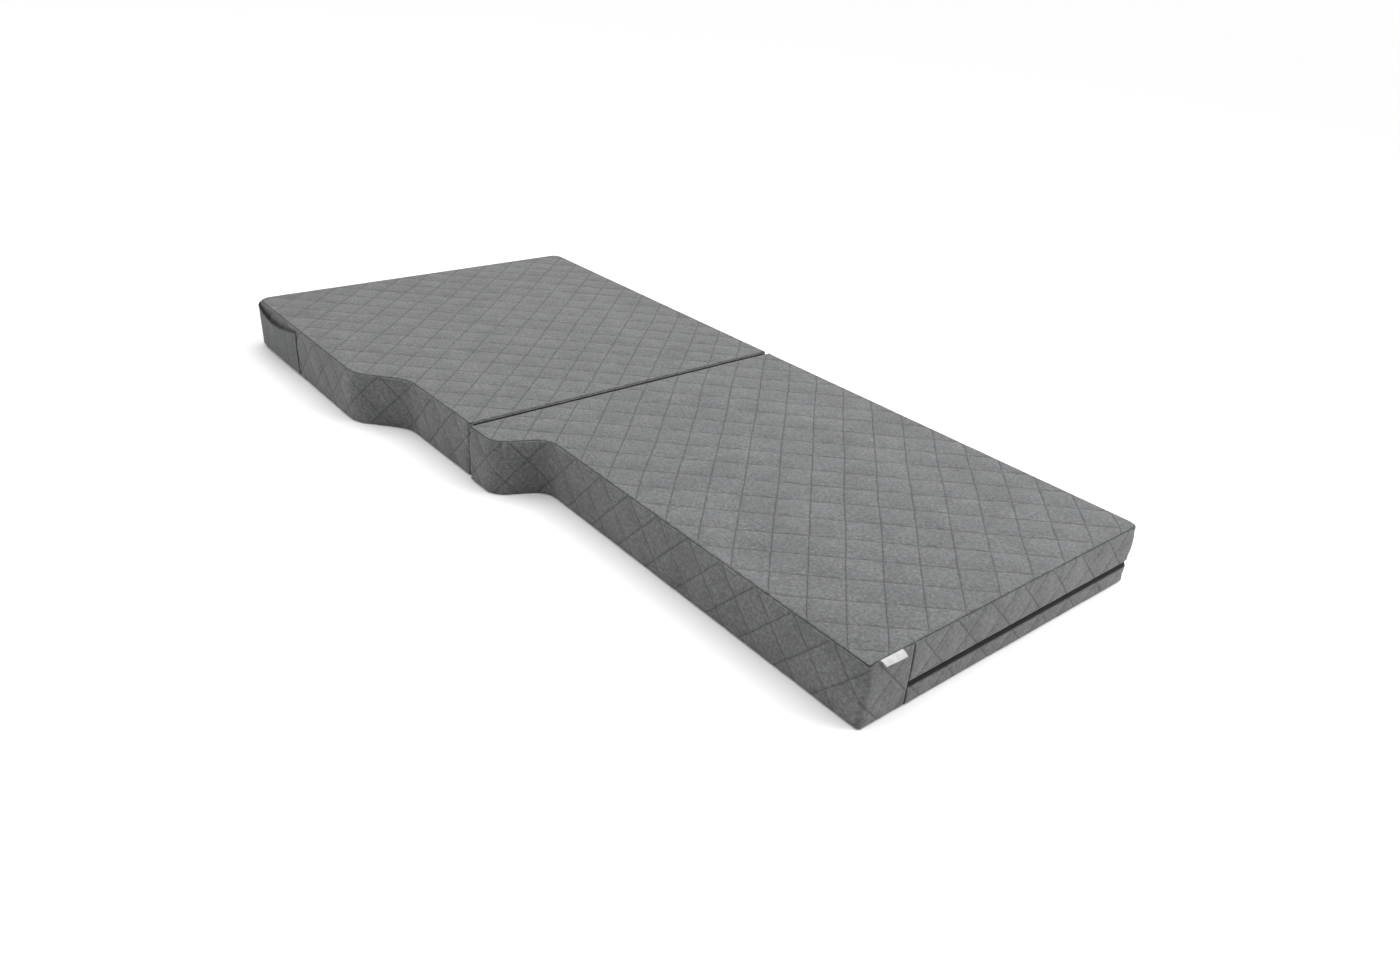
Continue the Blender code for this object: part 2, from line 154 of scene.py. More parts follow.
cameraSetup = {
    "place": (1.7298, -1.3445, 1.0554),
    "azimuth": 47.62,    # degrees, from square on to the shaped side towards the foot
    "elevation": 27.40,
    "roll": 4.78,
    "lens": 27.81,
}

lightSetup = {
    "world": 1.22,
    "darkSide": (0.80, -0.59, 0.08),    # the room is darker this way, behind the viewer
    "darkShare": 0.93,
    "keyPlace": (2.4, 2.0, 2.3),
    "keySize": 2.6,
    "keyPower": 70.0,
    "topPlace": (0.0, 0.3, 3.2),
    "topSize": 3.6,
    "topPower": 48.0,
    "floor": (0.965, 0.965, 0.965),
}


def makeCamera():
    azimuth = math.radians(cameraSetup["azimuth"])
    elevation = math.radians(cameraSetup["elevation"])
    level = math.cos(elevation)
    forward = Vector((-math.sin(azimuth) * level, math.cos(azimuth) * level, -math.sin(elevation)))
    bpy.ops.object.camera_add(location=cameraSetup["place"])
    camera = bpy.context.object
    camera.rotation_mode = "QUATERNION"
    roll = Quaternion((0, 0, 1), math.radians(cameraSetup["roll"]))
    camera.rotation_quaternion = forward.to_track_quat("-Z", "Y") @ roll
    camera.data.lens = cameraSetup["lens"]
    camera.data.sensor_width = 36.0
    camera.data.clip_end = 60.0
    bpy.context.scene.camera = camera


def aimedArea(name, place, size, power):
    bpy.ops.object.light_add(type="AREA", location=place)
    light = bpy.context.object
    light.name = name
    light.data.shape = "DISK"
    light.data.size = size
    light.data.energy = power
    light.rotation_euler = (-Vector(place)).to_track_quat("-Z", "Y").to_euler()


def makeFloor():
    bpy.ops.mesh.primitive_grid_add(x_subdivisions=12, y_subdivisions=12, size=90.0)
    floor = bpy.context.object
    floor.name = "floor"
    material = bpy.data.materials.new("paleFloor")
    material.use_nodes = True
    shader = material.node_tree.nodes["Principled BSDF"]
    shader.inputs["Base Color"].default_value = (*lightSetup["floor"], 1.0)
    shader.inputs["Roughness"].default_value = 0.9
    shader.inputs["Specular IOR Level"].default_value = 0.1
    floor.data.materials.append(material)


def makeStudio():
    world = bpy.data.worlds.new("studio")
    world.use_nodes = True
    tree = world.node_tree
    background = tree.nodes["Background"]
    background.inputs["Color"].default_value = (1.0, 1.0, 1.0, 1.0)
    sky = tree.nodes.new("ShaderNodeTexCoord")
    towards = tree.nodes.new("ShaderNodeVectorMath")
    towards.operation = "DOT_PRODUCT"
    towards.inputs[1].default_value = lightSetup["darkSide"]
    strength = tree.nodes.new("ShaderNodeMapRange")
    strength.inputs["From Min"].default_value = 0.25
    strength.inputs["From Max"].default_value = 0.95
    strength.inputs["To Min"].default_value = lightSetup["world"]
    strength.inputs["To Max"].default_value = lightSetup["world"] * (1 - lightSetup["darkShare"])
    tree.links.new(sky.outputs["Generated"], towards.inputs[0])
    tree.links.new(towards.outputs["Value"], strength.inputs["Value"])
    seen = tree.nodes.new("ShaderNodeLightPath")
    shown = tree.nodes.new("ShaderNodeMix")     # the backdrop itself is evenly pale
    shown.inputs["B"].default_value = 1.0
    tree.links.new(seen.outputs["Is Camera Ray"], shown.inputs["Factor"])
    tree.links.new(strength.outputs["Result"], shown.inputs["A"])
    tree.links.new(shown.outputs["Result"], background.inputs["Strength"])
    bpy.context.scene.world = world
    aimedArea("keyLight", lightSetup["keyPlace"], lightSetup["keySize"], lightSetup["keyPower"])
    aimedArea("topLight", lightSetup["topPlace"], lightSetup["topSize"], lightSetup["topPower"])
    bpy.context.scene.view_settings.view_transform = "Standard"
    makeFloor()


deselectAll()
makeCamera()
makeStudio()
print("camera and studio ready")


# Materials

class NodeBench:
    # Adds nodes to one material and wires them in short lines
    def __init__(self, name):
        self.material = bpy.data.materials.new(name)
        self.material.use_nodes = True
        self.tree = self.material.node_tree
        self.shader = self.tree.nodes["Principled BSDF"]

    def node(self, kind, **values):
        made = self.tree.nodes.new(kind)
        for key, value in values.items():
            setattr(made, key, value)
        return made

    def feed(self, socket, value):
        if isinstance(value, bpy.types.NodeSocket):
            self.tree.links.new(value, socket)
        else:
            socket.default_value = value

    def maths(self, operation, first, second=0.0, third=0.0):
        made = self.node("ShaderNodeMath", operation=operation)
        for socket, value in zip(made.inputs, (first, second, third)):
            self.feed(socket, value)
        return made.outputs[0]

    def times(self, first, second):
        return self.maths("MULTIPLY", first, second)

    def weigh(self, first, share, second, otherShare):
        return self.maths("MULTIPLY_ADD", first, share, self.times(second, otherShare))

    def nearness(self, gap, rate):
        # 1 at no gap, falling to 0
        return self.maths("MAXIMUM", self.maths("SUBTRACT", 1.0, self.times(gap, rate)), 0.0)

    def objectPlace(self):
        return self.node("ShaderNodeTexCoord").outputs["Object"]

    def noise(self, place, scale, detail=2.0, roughness=0.5):
        made = self.node("ShaderNodeTexNoise")
        self.feed(made.inputs["Vector"], place)
        made.inputs["Scale"].default_value = scale
        made.inputs["Detail"].default_value = detail
        made.inputs["Roughness"].default_value = roughness
        return made.outputs["Fac"]

    def ribs(self, place, direction, scale, distortion=0.0):
        made = self.node("ShaderNodeTexWave", wave_type="BANDS", bands_direction=direction)
        self.feed(made.inputs["Vector"], place)
        made.inputs["Scale"].default_value = scale
        made.inputs["Distortion"].default_value = distortion
        return made.outputs["Fac"]

    def ramp(self, value, stops):
        made = self.node("ShaderNodeValToRGB")
        self.feed(made.inputs["Fac"], value)
        marks = made.color_ramp.elements
        while len(marks) < len(stops):
            marks.new(0.5)
        for mark, (spot, colour) in zip(marks, stops):
            mark.position = spot
            mark.color = (*colour, 1.0)
        return made.outputs["Color"]

    def blendColours(self, share, first, second, mode="MIX"):
        made = self.node("ShaderNodeMix", data_type="RGBA", blend_type=mode)
        self.feed(made.inputs["Factor"], share)
        self.feed(made.inputs["A"], first)
        self.feed(made.inputs["B"], second)
        return made.outputs["Result"]

    def bump(self, height, strength, distance, under=None):
        made = self.node("ShaderNodeBump")
        self.feed(made.inputs["Height"], height)
        made.inputs["Strength"].default_value = strength
        made.inputs["Distance"].default_value = distance
        if under:
            self.feed(made.inputs["Normal"], under)
        return made.outputs["Normal"]

    def finish(self, colour, roughness, normal=None, **constants):
        self.feed(self.shader.inputs["Base Color"], colour)
        self.feed(self.shader.inputs["Roughness"], roughness)
        if normal:
            self.feed(self.shader.inputs["Normal"], normal)
        for key, value in constants.items():
            self.shader.inputs[key].default_value = value
        return self.material


melange = {
    "dark": (0.048, 0.049, 0.050),
    "middle": (0.115, 0.117, 0.119),
    "light": (0.232, 0.235, 0.238),
    "yarn": 1150.0,      # flecks of the yarn, per metre
    "heather": 175.0,    # clusters of light and dark yarn
    "cloud": 14.0,       # slow drift of tone
    "thread": (0.036, 0.037, 0.039),
    "threadWidth": 0.00075,
    "stitchLength": 0.0040,
    "quiltPitch": 0.064,
    "shade": 0.0030,        # painted groove shade darkens the cloth this close to a line of stitching
    "seamShade": 0.0026,    # and this close to a seam, partly the seam's own dark line and partly painted seam-groove shade
}


def melangeColour(bench):
    place = bench.objectPlace()
    yarn = bench.noise(place, melange["yarn"], 3.0, 0.75)
    heather = bench.noise(place, melange["heather"], 5.0, 0.75)
    cloud = bench.noise(place, melange["cloud"], 2.0, 0.5)
    mixed = bench.weigh(heather, 0.56, yarn, 0.44)
    mixed = bench.maths("MULTIPLY_ADD", bench.maths("SUBTRACT", cloud, 0.5), 0.12, mixed)
    stops = [(0.31, melange["dark"]), (0.50, melange["middle"]), (0.69, melange["light"])]
    return bench.ramp(mixed, stops), heather


def stitchMask(bench, across, along):
    # The thread's rounded height, in dashes, and a painted groove-shade mask that grows stronger nearer the
    # line of stitching
    pitch = melange["quiltPitch"]
    half = bench.maths("ADD", across, 0.5)
    offset = bench.maths("ABSOLUTE", bench.maths("SUBTRACT", bench.maths("FRACT", half), 0.5))
    side = bench.times(offset, 2 * pitch / melange["threadWidth"])
    crown = bench.maths("SUBTRACT", 1.0, bench.times(side, side))
    beat = bench.maths("FRACT", bench.times(along, pitch / melange["stitchLength"]))
    wave = bench.maths("SINE", bench.times(beat, math.pi))
    dash = bench.maths("MINIMUM", bench.times(bench.maths("SUBTRACT", wave, 0.22), 3.5), 1.0)
    thread = bench.maths("MAXIMUM", bench.maths("MINIMUM", crown, dash), 0.0)
    return thread, bench.maths("POWER", bench.nearness(offset, pitch / melange["shade"]), 1.6)


def quiltedFabric():
    bench = NodeBench("quiltedMelange")
    colour, heather = melangeColour(bench)
    parts = bench.node("ShaderNodeSeparateXYZ")
    bench.feed(parts.inputs[0], bench.node("ShaderNodeUVMap", uv_map="quilt").outputs[0])
    first, second, _ = parts.outputs
    firstThread, firstGrooveShade = stitchMask(bench, first, second)
    secondThread, secondGrooveShade = stitchMask(bench, second, first)
    thread = bench.maths("MAXIMUM", firstThread, secondThread)
    near = bench.maths("MAXIMUM", firstGrooveShade, secondGrooveShade)
    # Painted shade: the cloth is darkened beside the stitch lines, standing in for the shade of the padded
    # grooves
    colour = bench.blendColours(bench.times(near, 0.46), colour, (0.026, 0.026, 0.028, 1))
    onThread = bench.maths("MINIMUM", bench.times(thread, 2.5), 0.80)
    colour = bench.blendColours(onThread, colour, (*melange["thread"], 1))
    # The seam line: partly the seam's own dark stitching, partly painted shade in the seam groove
    seam = bench.node("ShaderNodeAttribute", attribute_name="seamGap").outputs["Fac"]
    seamLineAndShade = bench.nearness(seam, 1 / melange["seamShade"])
    colour = bench.blendColours(bench.times(seamLineAndShade, 0.88), colour, (0.010, 0.010, 0.011, 1))
    weave = bench.noise(bench.objectPlace(), 1900.0, 3.0, 0.75)
    normal = bench.bump(weave, 0.75, 0.0004)
    normal = bench.bump(heather, 0.40, 0.0007, normal)
    normal = bench.bump(thread, 0.80, 0.0005, normal)
    return bench.finish(colour, 0.93, normal, **{"Sheen Weight": 0.18, "Sheen Roughness": 0.45,
                                                 "Specular IOR Level": 0.15})


def plainFabric(name, tint):
    # Close plain weave, without quilting
    bench = NodeBench(name)
    place = bench.objectPlace()
    fleck = bench.noise(place, 700.0, 2.0, 0.6)
    drift = bench.noise(place, 190.0, 3.0, 0.6)
    mixed = bench.weigh(drift, 0.45, fleck, 0.55)
    darker = tuple(0.62 * part for part in tint)
    lighter = tuple(1.45 * part for part in tint)
    colour = bench.ramp(mixed, [(0.36, darker), (0.50, tint), (0.66, lighter)])
    weave = bench.times(bench.ribs(place, "X", 260.0), bench.ribs(place, "Y", 260.0))
    normal = bench.bump(weave, 0.5, 0.0004)
    normal = bench.bump(fleck, 0.4, 0.0005, normal)
    return bench.finish(colour, 0.92, normal, **{"Sheen Weight": 0.12, "Specular IOR Level": 0.15})


def foamMaterial(name, tint, cell):
    bench = NodeBench(name)
    place = bench.objectPlace()
    pores = bench.node("ShaderNodeTexVoronoi", feature="F1")
    bench.feed(pores.inputs["Vector"], place)
    pores.inputs["Scale"].default_value = cell
    drift = bench.noise(place, 12.0, 3.0, 0.5)
    mixed = bench.weigh(pores.outputs["Distance"], 0.6, drift, 0.4)
    darker = tuple(0.80 * part for part in tint)
    colour = bench.ramp(mixed, [(0.25, darker), (0.60, tint)])
    normal = bench.bump(pores.outputs["Distance"], 0.6, 0.0006)
    return bench.finish(colour, 0.95, normal, **{"Specular IOR Level": 0.2})


def evenFinish(name, grain, stops, roughness, bump, metallic):
    # Enamel or nylon, nearly even. grain is its scale, detail and roughness.
    bench = NodeBench(name)
    fleck = bench.noise(bench.objectPlace(), *grain)
    rough = bench.maths("MULTIPLY_ADD", fleck, *roughness)
    return bench.finish(bench.ramp(fleck, stops), rough, bench.bump(fleck, *bump), Metallic=metallic)


def wovenSatin():
    bench = NodeBench("labelSatin")
    ribs = bench.ribs(bench.objectPlace(), "Z", 420.0, 0.4)
    cloud = bench.noise(bench.objectPlace(), 90.0, 2.0, 0.5)
    colour = bench.ramp(cloud, [(0.25, (0.33, 0.33, 0.33)), (0.75, (0.47, 0.47, 0.47))])
    normal = bench.bump(ribs, 0.35, 0.0002)
    return bench.finish(colour, 0.5, normal, **{"Sheen Weight": 0.3})


fabric = quiltedFabric()
baseCloth = plainFabric("baseCloth", (0.085, 0.087, 0.092))
pocketCloth = plainFabric("pocketCloth", (0.112, 0.115, 0.117))
bindingCloth = plainFabric("bindingCloth", (0.030, 0.031, 0.033))
foldCloth = plainFabric("foldCloth", (0.010, 0.010, 0.011))
tapeCloth = plainFabric("tapeCloth", (0.022, 0.022, 0.025))
memoryFoam = foamMaterial("memoryFoam", (0.80, 0.82, 0.70), 900.0)
baseFoam = foamMaterial("coldFoam", (0.82, 0.80, 0.74), 520.0)
enamelStops = [(0.40, (0.022, 0.022, 0.024)), (0.80, (0.038, 0.038, 0.041))]
enamel = evenFinish("blackEnamel", (2600.0, 3.0, 0.6), enamelStops, (0.18, 0.24), (0.06, 0.0001), 0.75)
nylonStops = [(0.3, (0.014, 0.014, 0.016)), (0.7, (0.032, 0.032, 0.036))]
coilNylon = evenFinish("zipNylon", (1400.0, 2.0, 0.5), nylonStops, (0.2, 0.35), (0.2, 0.0002), 0.0)
satin = wovenSatin()


for side in ("foot", "head"):
    for part in ("_zip_stop_start", "_zip_stop_end"):
        for materialSlot in bpy.data.objects[side + part].material_slots:
            materialSlot.material = enamel
print("materials ready")


# Outlines: each section's edge, read from its bottom panel and walked counter-clockwise

# At tight corners the cover is drawn out to a point along its two seams, most of all by the label
cornerEar = {
    "squareReach": 0.0034,
    "reach": 0.0014,
    "fade": 0.022,          # how soon the pull dies away down a band
    "panelFade": 0.016,     # and in across a panel
    "ease": 0.45,           # share of the seam's inward roll that a corner loses
    "lift": 0.55,           # share of the panel's drop that it loses
    "liftOver": 0.002,
    "turnFrom": 42,         # degrees that count as a corner
    "turnOver": 26,
}


class Outline:
    spacing = 0.002
    softening = 3       # points each way that a corner is eased over
    squareSpot = -1.0

    def __init__(self, node):
        corners = self.walkEdge(node)
        self.points = self.resample(corners)
        ahead = np.roll(self.points, -1, axis=0) - np.roll(self.points, 1, axis=0)
        normals = np.stack([ahead[:, 1], -ahead[:, 0]], axis=1)
        normals = self.soften(normals)
        self.normals = normals / np.linalg.norm(normals, axis=1)[:, None]
        steps = np.linalg.norm(np.roll(self.points, -1, axis=0) - self.points, axis=1)
        self.along = np.concatenate([[0.0], np.cumsum(steps)])
        self.total = self.along[-1]

    def walkEdge(self, node):
        shape = openShape(bpy.data.objects[node])
        bmesh.ops.remove_doubles(shape, verts=shape.verts, dist=0.00002)
        low = min(vertex.co.z for vertex in shape.verts) + 0.00005
        rim = [edge for edge in shape.edges if all(vertex.co.z < low for vertex in edge.verts)
               and sum(face.normal.z < -0.9 for face in edge.link_faces) == 1]
        links = {}
        for edge in rim:
            for vertex in edge.verts:
                links.setdefault(vertex, []).append(edge.other_vert(vertex))
        start = rim[0].verts[0]
        walk = [start]
        before, here = start, links[start][0]
        while here is not start:
            walk.append(here)
            before, here = here, next(item for item in links[here] if item is not before)
        points = np.array([(vertex.co.x, vertex.co.y) for vertex in walk])
        shape.free()
        ahead = np.roll(points, -1, axis=0)
        area = np.sum(points[:, 0] * ahead[:, 1] - ahead[:, 0] * points[:, 1])
        return points if area > 0 else points[::-1]

    def resample(self, corners):
        ring = np.vstack([corners, corners[:1]])
        steps = np.linalg.norm(np.diff(ring, axis=0), axis=1)
        along = np.concatenate([[0.0], np.cumsum(steps)])
        count = int(along[-1] / self.spacing)
        spots = np.linspace(0.0, along[-1], count, endpoint=False)
        points = np.stack([np.interp(spots, along, ring[:, axis]) for axis in (0, 1)], axis=1)
        return self.soften(points)

    def soften(self, values):
        reach = range(-self.softening, self.softening + 1)
        return sum(np.roll(values, step, axis=0) for step in reach) / len(reach)

    def at(self, spot):
        # Places and outward directions at distances along the outline
        spot = np.mod(spot, self.total)
        ringPoints = np.vstack([self.points, self.points[:1]])
        ringNormals = np.vstack([self.normals, self.normals[:1]])
        place = np.stack([np.interp(spot, self.along, ringPoints[:, axis]) for axis in (0, 1)], axis=-1)
        way = np.stack([np.interp(spot, self.along, ringNormals[:, axis]) for axis in (0, 1)], axis=-1)
        return place, way / np.linalg.norm(way, axis=-1, keepdims=True)

    def sharpness(self, spot):
        # 1 in the middle of a tight outward corner, 0 where the outline is straight or turns gently
        reach = 0.009
        _, before = self.at(spot - reach)
        _, after = self.at(spot + reach)
        cross = before[:, 0] * after[:, 1] - before[:, 1] * after[:, 0]
        turn = np.degrees(np.arcsin(np.clip(cross, -1, 1)))
        share = np.clip((turn - cornerEar["turnFrom"]) / cornerEar["turnOver"], 0, 1)
        return share * share * (3 - 2 * share)

    def ear(self, spot):
        # How far the seams are drawn outwards at the tight corners
        away = np.mod(spot - self.squareSpot + self.total / 2, self.total) - self.total / 2
        reach = np.where(np.abs(away) < 0.03, cornerEar["squareReach"], cornerEar["reach"])
        return reach * self.sharpness(spot)

    def spotNear(self, x, y):
        gaps = np.hypot(self.points[:, 0] - x, self.points[:, 1] - y)
        return float(self.along[int(np.argmin(gaps))])

    def depthOf(self, flat):
        # For flat points: distance in from the outline, the nearest place on it, and its direction
        nearest = np.empty(len(flat), dtype=int)
        for start in range(0, len(flat), 4000):
            block = flat[start:start + 4000]
            gaps = (block[:, None, 0] - self.points[None, :, 0]) ** 2
            gaps += (block[:, None, 1] - self.points[None, :, 1]) ** 2
            nearest[start:start + 4000] = np.argmin(gaps, axis=1)
        best = np.full(len(flat), 1e9)
        spots = np.zeros(len(flat))
        count = len(self.points)
        for shift in (-1, 0):
            first = (nearest + shift) % count
            a = self.points[first]
            b = self.points[(first + 1) % count]
            run = b - a
            share = np.clip(np.sum((flat - a) * run, axis=1) / np.sum(run * run, axis=1), 0, 1)
            gap = np.linalg.norm(flat - a - run * share[:, None], axis=1)
            closer = gap < best
            best = np.where(closer, gap, best)
            spots = np.where(closer, self.along[first] + share * np.linalg.norm(run, axis=1), spots)
        place, way = self.at(spots)
        return best, place, way, spots

    def holds(self, flat):
        # True for the flat points inside the outline
        inside = np.zeros(len(flat), dtype=bool)
        for start in range(0, len(flat), 4000):
            block = flat[start:start + 4000]
            x1, y1 = self.points[:, 0], self.points[:, 1]
            x2, y2 = np.roll(x1, -1), np.roll(y1, -1)
            crossing = (y1 > block[:, None, 1]) != (y2 > block[:, None, 1])
            with np.errstate(divide="ignore", invalid="ignore"):
                reach = (x2 - x1) * (block[:, None, 1] - y1) / (y2 - y1) + x1
            inside[start:start + 4000] = np.sum(crossing & (block[:, None, 0] < reach), axis=1) % 2 == 1
        return inside

    def ring(self, depth, every):
        points = self.points - self.normals * depth
        return points[::every]


# Quilted sheets. A sheet starts flat, as a grid whose lines lie along the stitching, and is cut to
# its outline. Its two families of stitch lines are where quilt coordinates are whole numbers.

sheetStops = (0.0, 0.028, 0.08, 0.18, 0.33, 0.5, 0.67, 0.82, 0.92, 0.972)

footQuilt = {"turns": (43.4, -42.9), "pitches": (0.0633, 0.0646), "starts": (0.469, 0.485)}
headQuilt = {"turns": (42.2, -43.0), "pitches": (0.0602, 0.0620), "starts": (0.443, 0.145)}
bandPitch = (0.0872, 0.0920)    # the bands' diamonds, along and up


def bandQuilt(along, up):
    # The band's diamonds, with two stitch lines crossing at one known place
    turn = math.degrees(math.atan2(1 / bandPitch[1], 1 / bandPitch[0]))
    pitch = 1 / math.hypot(1 / bandPitch[0], 1 / bandPitch[1])
    level = along * math.cos(math.radians(turn)) / pitch
    rise = up * math.sin(math.radians(turn)) / pitch
    return {"turns": (turn, -turn), "pitches": (pitch, pitch), "starts": (level + rise, level - rise)}


def quiltAxes(quilt):
    rows = []
    for turn, pitch in zip(quilt["turns"], quilt["pitches"]):
        rows.append((math.cos(math.radians(turn)) / pitch, math.sin(math.radians(turn)) / pitch))
    return np.array(rows)


def wander(flat):
    # The stitching strays this much from straight
    slow = 0.0011
    quick = 0.0005
    x, y = flat[:, 0], flat[:, 1]
    across = unevenness(x, y, 0.31, 71) * slow + unevenness(x, y, 0.055, 72) * quick
    along = unevenness(x, y, 0.29, 73) * slow + unevenness(x, y, 0.060, 74) * quick
    return np.column_stack([across, along])


def quiltCoordinates(quilt, flat):
    return (flat + wander(flat)) @ quiltAxes(quilt).T - np.array(quilt["starts"])


def flatLattice(quilt, low, high, stops):
    # A flat grid over the box from low to high, bent so that its lines follow the stitching
    corners = np.array([(x, y) for x in (low[0], high[0]) for y in (low[1], high[1])])
    spread = quiltCoordinates(quilt, corners)
    first = np.floor(spread.min(axis=0)).astype(int)
    cells = np.ceil(spread.max(axis=0)).astype(int) - first
    count = cells * len(stops)
    sheet = flatGrid(int(count[0]), int(count[1]))
    points = readPoints(sheet)
    index = np.rint((points[:, :2] + 0.5) * count).astype(int)
    marks = np.array(stops)
    quiltSpots = first + index // len(stops) + marks[index % len(stops)]
    straight = (quiltSpots + np.array(quilt["starts"])) @ np.linalg.inv(quiltAxes(quilt)).T
    flat = straight
    for _ in range(3):
        flat = straight - wander(flat)
    points[:, :2] = flat
    points[:, 2] = 0.0
    writePoints(sheet, points)
    margin = 0.004
    outside = np.any((flat < np.array(low) - margin) | (flat > np.array(high) + margin), axis=1)
    shape = openShape(sheet)
    spare = [face for face in shape.faces if all(outside[vertex.index] for vertex in face.verts)]
    bmesh.ops.delete(shape, geom=spare, context="FACES")
    faceUp(shape)
    closeShape(shape, sheet)
    return sheet


def faceUp(shape):
    shape.normal_update()
    for face in shape.faces:
        if face.normal.z < 0:
            face.normal_flip()


def cutAlong(sheet, rings):
    # Cuts a flat sheet where upright walls along the given rings meet it
    points = []
    faces = []
    for ring in rings:
        start = len(points)
        count = len(ring)
        points += [(x, y, -0.01) for x, y in ring] + [(x, y, 0.01) for x, y in ring]
        for step in range(count):
            after = (step + 1) % count
            faces.append((start + step, start + after, start + count + after, start + count + step))
    wallMesh = bpy.data.meshes.new("walls")
    wallMesh.from_pydata(points, [], faces)
    walls = newPiece("walls", wallMesh)
    bpy.context.tool_settings.mesh_select_mode = (False, False, True)
    makeActive(sheet)
    sheet.data.polygons.foreach_set("select", [False] * len(sheet.data.polygons))
    wallMesh.polygons.foreach_set("select", [True] * len(wallMesh.polygons))
    walls.select_set(True)
    bpy.ops.object.join()
    bpy.ops.object.mode_set(mode="EDIT")
    bpy.ops.mesh.intersect(mode="SELECT_UNSELECT", separate_mode="CUT", solver="EXACT")
    bpy.ops.object.mode_set(mode="OBJECT")


def cutPlanes(piece, cuts, reach):
    # Cuts a piece by flat planes, each given as a place and the way it faces
    shape = openShape(piece)
    for place, way in cuts:
        whole = shape.verts[:] + shape.edges[:] + shape.faces[:]
        bmesh.ops.bisect_plane(shape, geom=whole, dist=reach, plane_co=place, plane_no=way)
    closeShape(shape, piece)


def keepFlatFaces(sheet, isWanted):
    # Drops the walls and every face whose middle isn't wanted
    shape = openShape(sheet)
    shape.normal_update()
    middles = np.array([face.calc_center_median()[:2] for face in shape.faces])
    level = np.array([abs(face.normal.z) > 0.5 for face in shape.faces])
    keep = level & isWanted(middles)
    spare = [face for face, kept in zip(shape.faces, keep) if not kept]
    bmesh.ops.delete(shape, geom=spare, context="FACES")
    bmesh.ops.delete(shape, geom=[edge for edge in shape.edges if not edge.link_faces], context="EDGES")
    loose = [vertex for vertex in shape.verts if not vertex.link_faces]
    bmesh.ops.delete(shape, geom=loose, context="VERTS")
    bmesh.ops.remove_doubles(shape, verts=shape.verts, dist=0.00015)
    bmesh.ops.dissolve_degenerate(shape, edges=shape.edges, dist=0.00005)
    faceUp(shape)
    closeShape(shape, sheet)


def stitchOffsets(quilt, flat):
    # How far each flat point is from the nearest line of each family
    spots = quiltCoordinates(quilt, flat)
    return np.abs(spots - np.rint(spots)) * np.array(quilt["pitches"])


padding = {
    "cloth": 0.0016,
    "frames": 20,
    "firmness": 0.0021,   # how soon the padding resists, as a height
    "hold": 0.0009,       # cloth this near a stitch line stays down
    "edgeHold": 0.0012,   # and this near a seam
    "inflated": 0.62,     # share of the final height that the inflated cloth gives
}

inflation = {
    "quality": 5,
    "mass": 0.25,
    "tension_stiffness": 12.0,
    "compression_stiffness": 12.0,
    "bending_stiffness": 0.6,
    "use_pressure": True,
    "uniform_pressure_force": 4.0,
    "shrink_min": -0.02,    # the wadding pushes the cloth into a slightly larger sheet
    "vertex_group_mass": "stitched",
}


def puffHeights(sheet, quilt, flat, depth, height, softness):
    # The height that the padding lifts the cloth to, from 0 at the stitching.
    offsets = stitchOffsets(quilt, flat)
    fall = 1 - np.exp(-offsets / softness)
    drawn = fall[:, 0] * fall[:, 1]
    held = (offsets.min(axis=1) < padding["hold"]) | (depth < padding["edgeHold"])
    group = sheet.vertex_groups.new(name="stitched")
    group.add([int(index) for index in np.nonzero(held)[0]], 1.0, "REPLACE")
    makeActive(sheet)
    cloth = sheet.modifiers.new("padding", "CLOTH")
    for key, value in inflation.items():
        setattr(cloth.settings, key, value)
    cloth.settings.effector_weights.gravity = 0.0
    cloth.point_cache.frame_start = 1
    cloth.point_cache.frame_end = padding["frames"]
    scene = bpy.context.scene
    for frameNumber in range(1, padding["frames"] + 1):
        scene.frame_set(frameNumber)
    bpy.ops.object.modifier_apply(modifier=cloth.name)
    scene.frame_set(1)
    sheet.vertex_groups.clear()
    raised = np.nan_to_num(np.abs(readPoints(sheet)[:, 2]))
    print("    simulated lift", round(float(raised.max()) * 1000, 2), "mm, middle",
          round(float(np.median(raised)) * 1000, 2), "mm")
    capped = 1 - np.exp(-raised / padding["firmness"])
    share = padding["inflated"]
    return height * np.clip(share * capped + (1 - share) * drawn, 0, 1)


def finishQuilted(sheet, quilt, flat, gaps, name, body, node):
    # Lays the stitching out on a shaped sheet, then gives it its thickness
    spots = quiltCoordinates(quilt, flat)
    layer = sheet.data.uv_layers.new(name="quilt")
    loops = np.empty(len(sheet.data.loops), dtype=int)
    sheet.data.loops.foreach_get("vertex_index", loops)
    layer.data.foreach_set("uv", spots[loops].ravel())
    layer = sheet.data.attributes.new(name="seamGap", type="FLOAT", domain="POINT")
    layer.data.foreach_set("value", np.ascontiguousarray(gaps))
    thicken(sheet, padding["cloth"])
    finishPiece(sheet, name, fabric, body, "quilted_fabric", node)


# Top and bottom panels. Depth is how far in from the outline a point of the flat sheet is.

topPanel = {
    "puff": 0.0027,
    "softness": 0.0075,
    "waviness": 0.0005,
    "waveSize": 0.13,
    "flatEdge": 0.002,      # no puff this near the seam
    "fade": 0.012,
    "rows": (0.0, 0.0012, 0.0025, 0.0042, 0.0068, 0.0105),
    "inset": (0.0047, 0.0050, 0.0058, 0.0071, 0.0092, 0.0118),
    "drop": (0.0040, 0.0029, 0.0018, 0.0010, 0.0004, 0.0),
}

bottomPanel = {
    "cell": 0.045,
    "cloth": 0.0012,
    "rows": (0.0, 0.0015, 0.0035, 0.0070, 0.0120),
    "inset": (0.0030, 0.0032, 0.0042, 0.0072, 0.0120),
    "drop": (0.0031, 0.0020, 0.0009, 0.0002, 0.0),
}


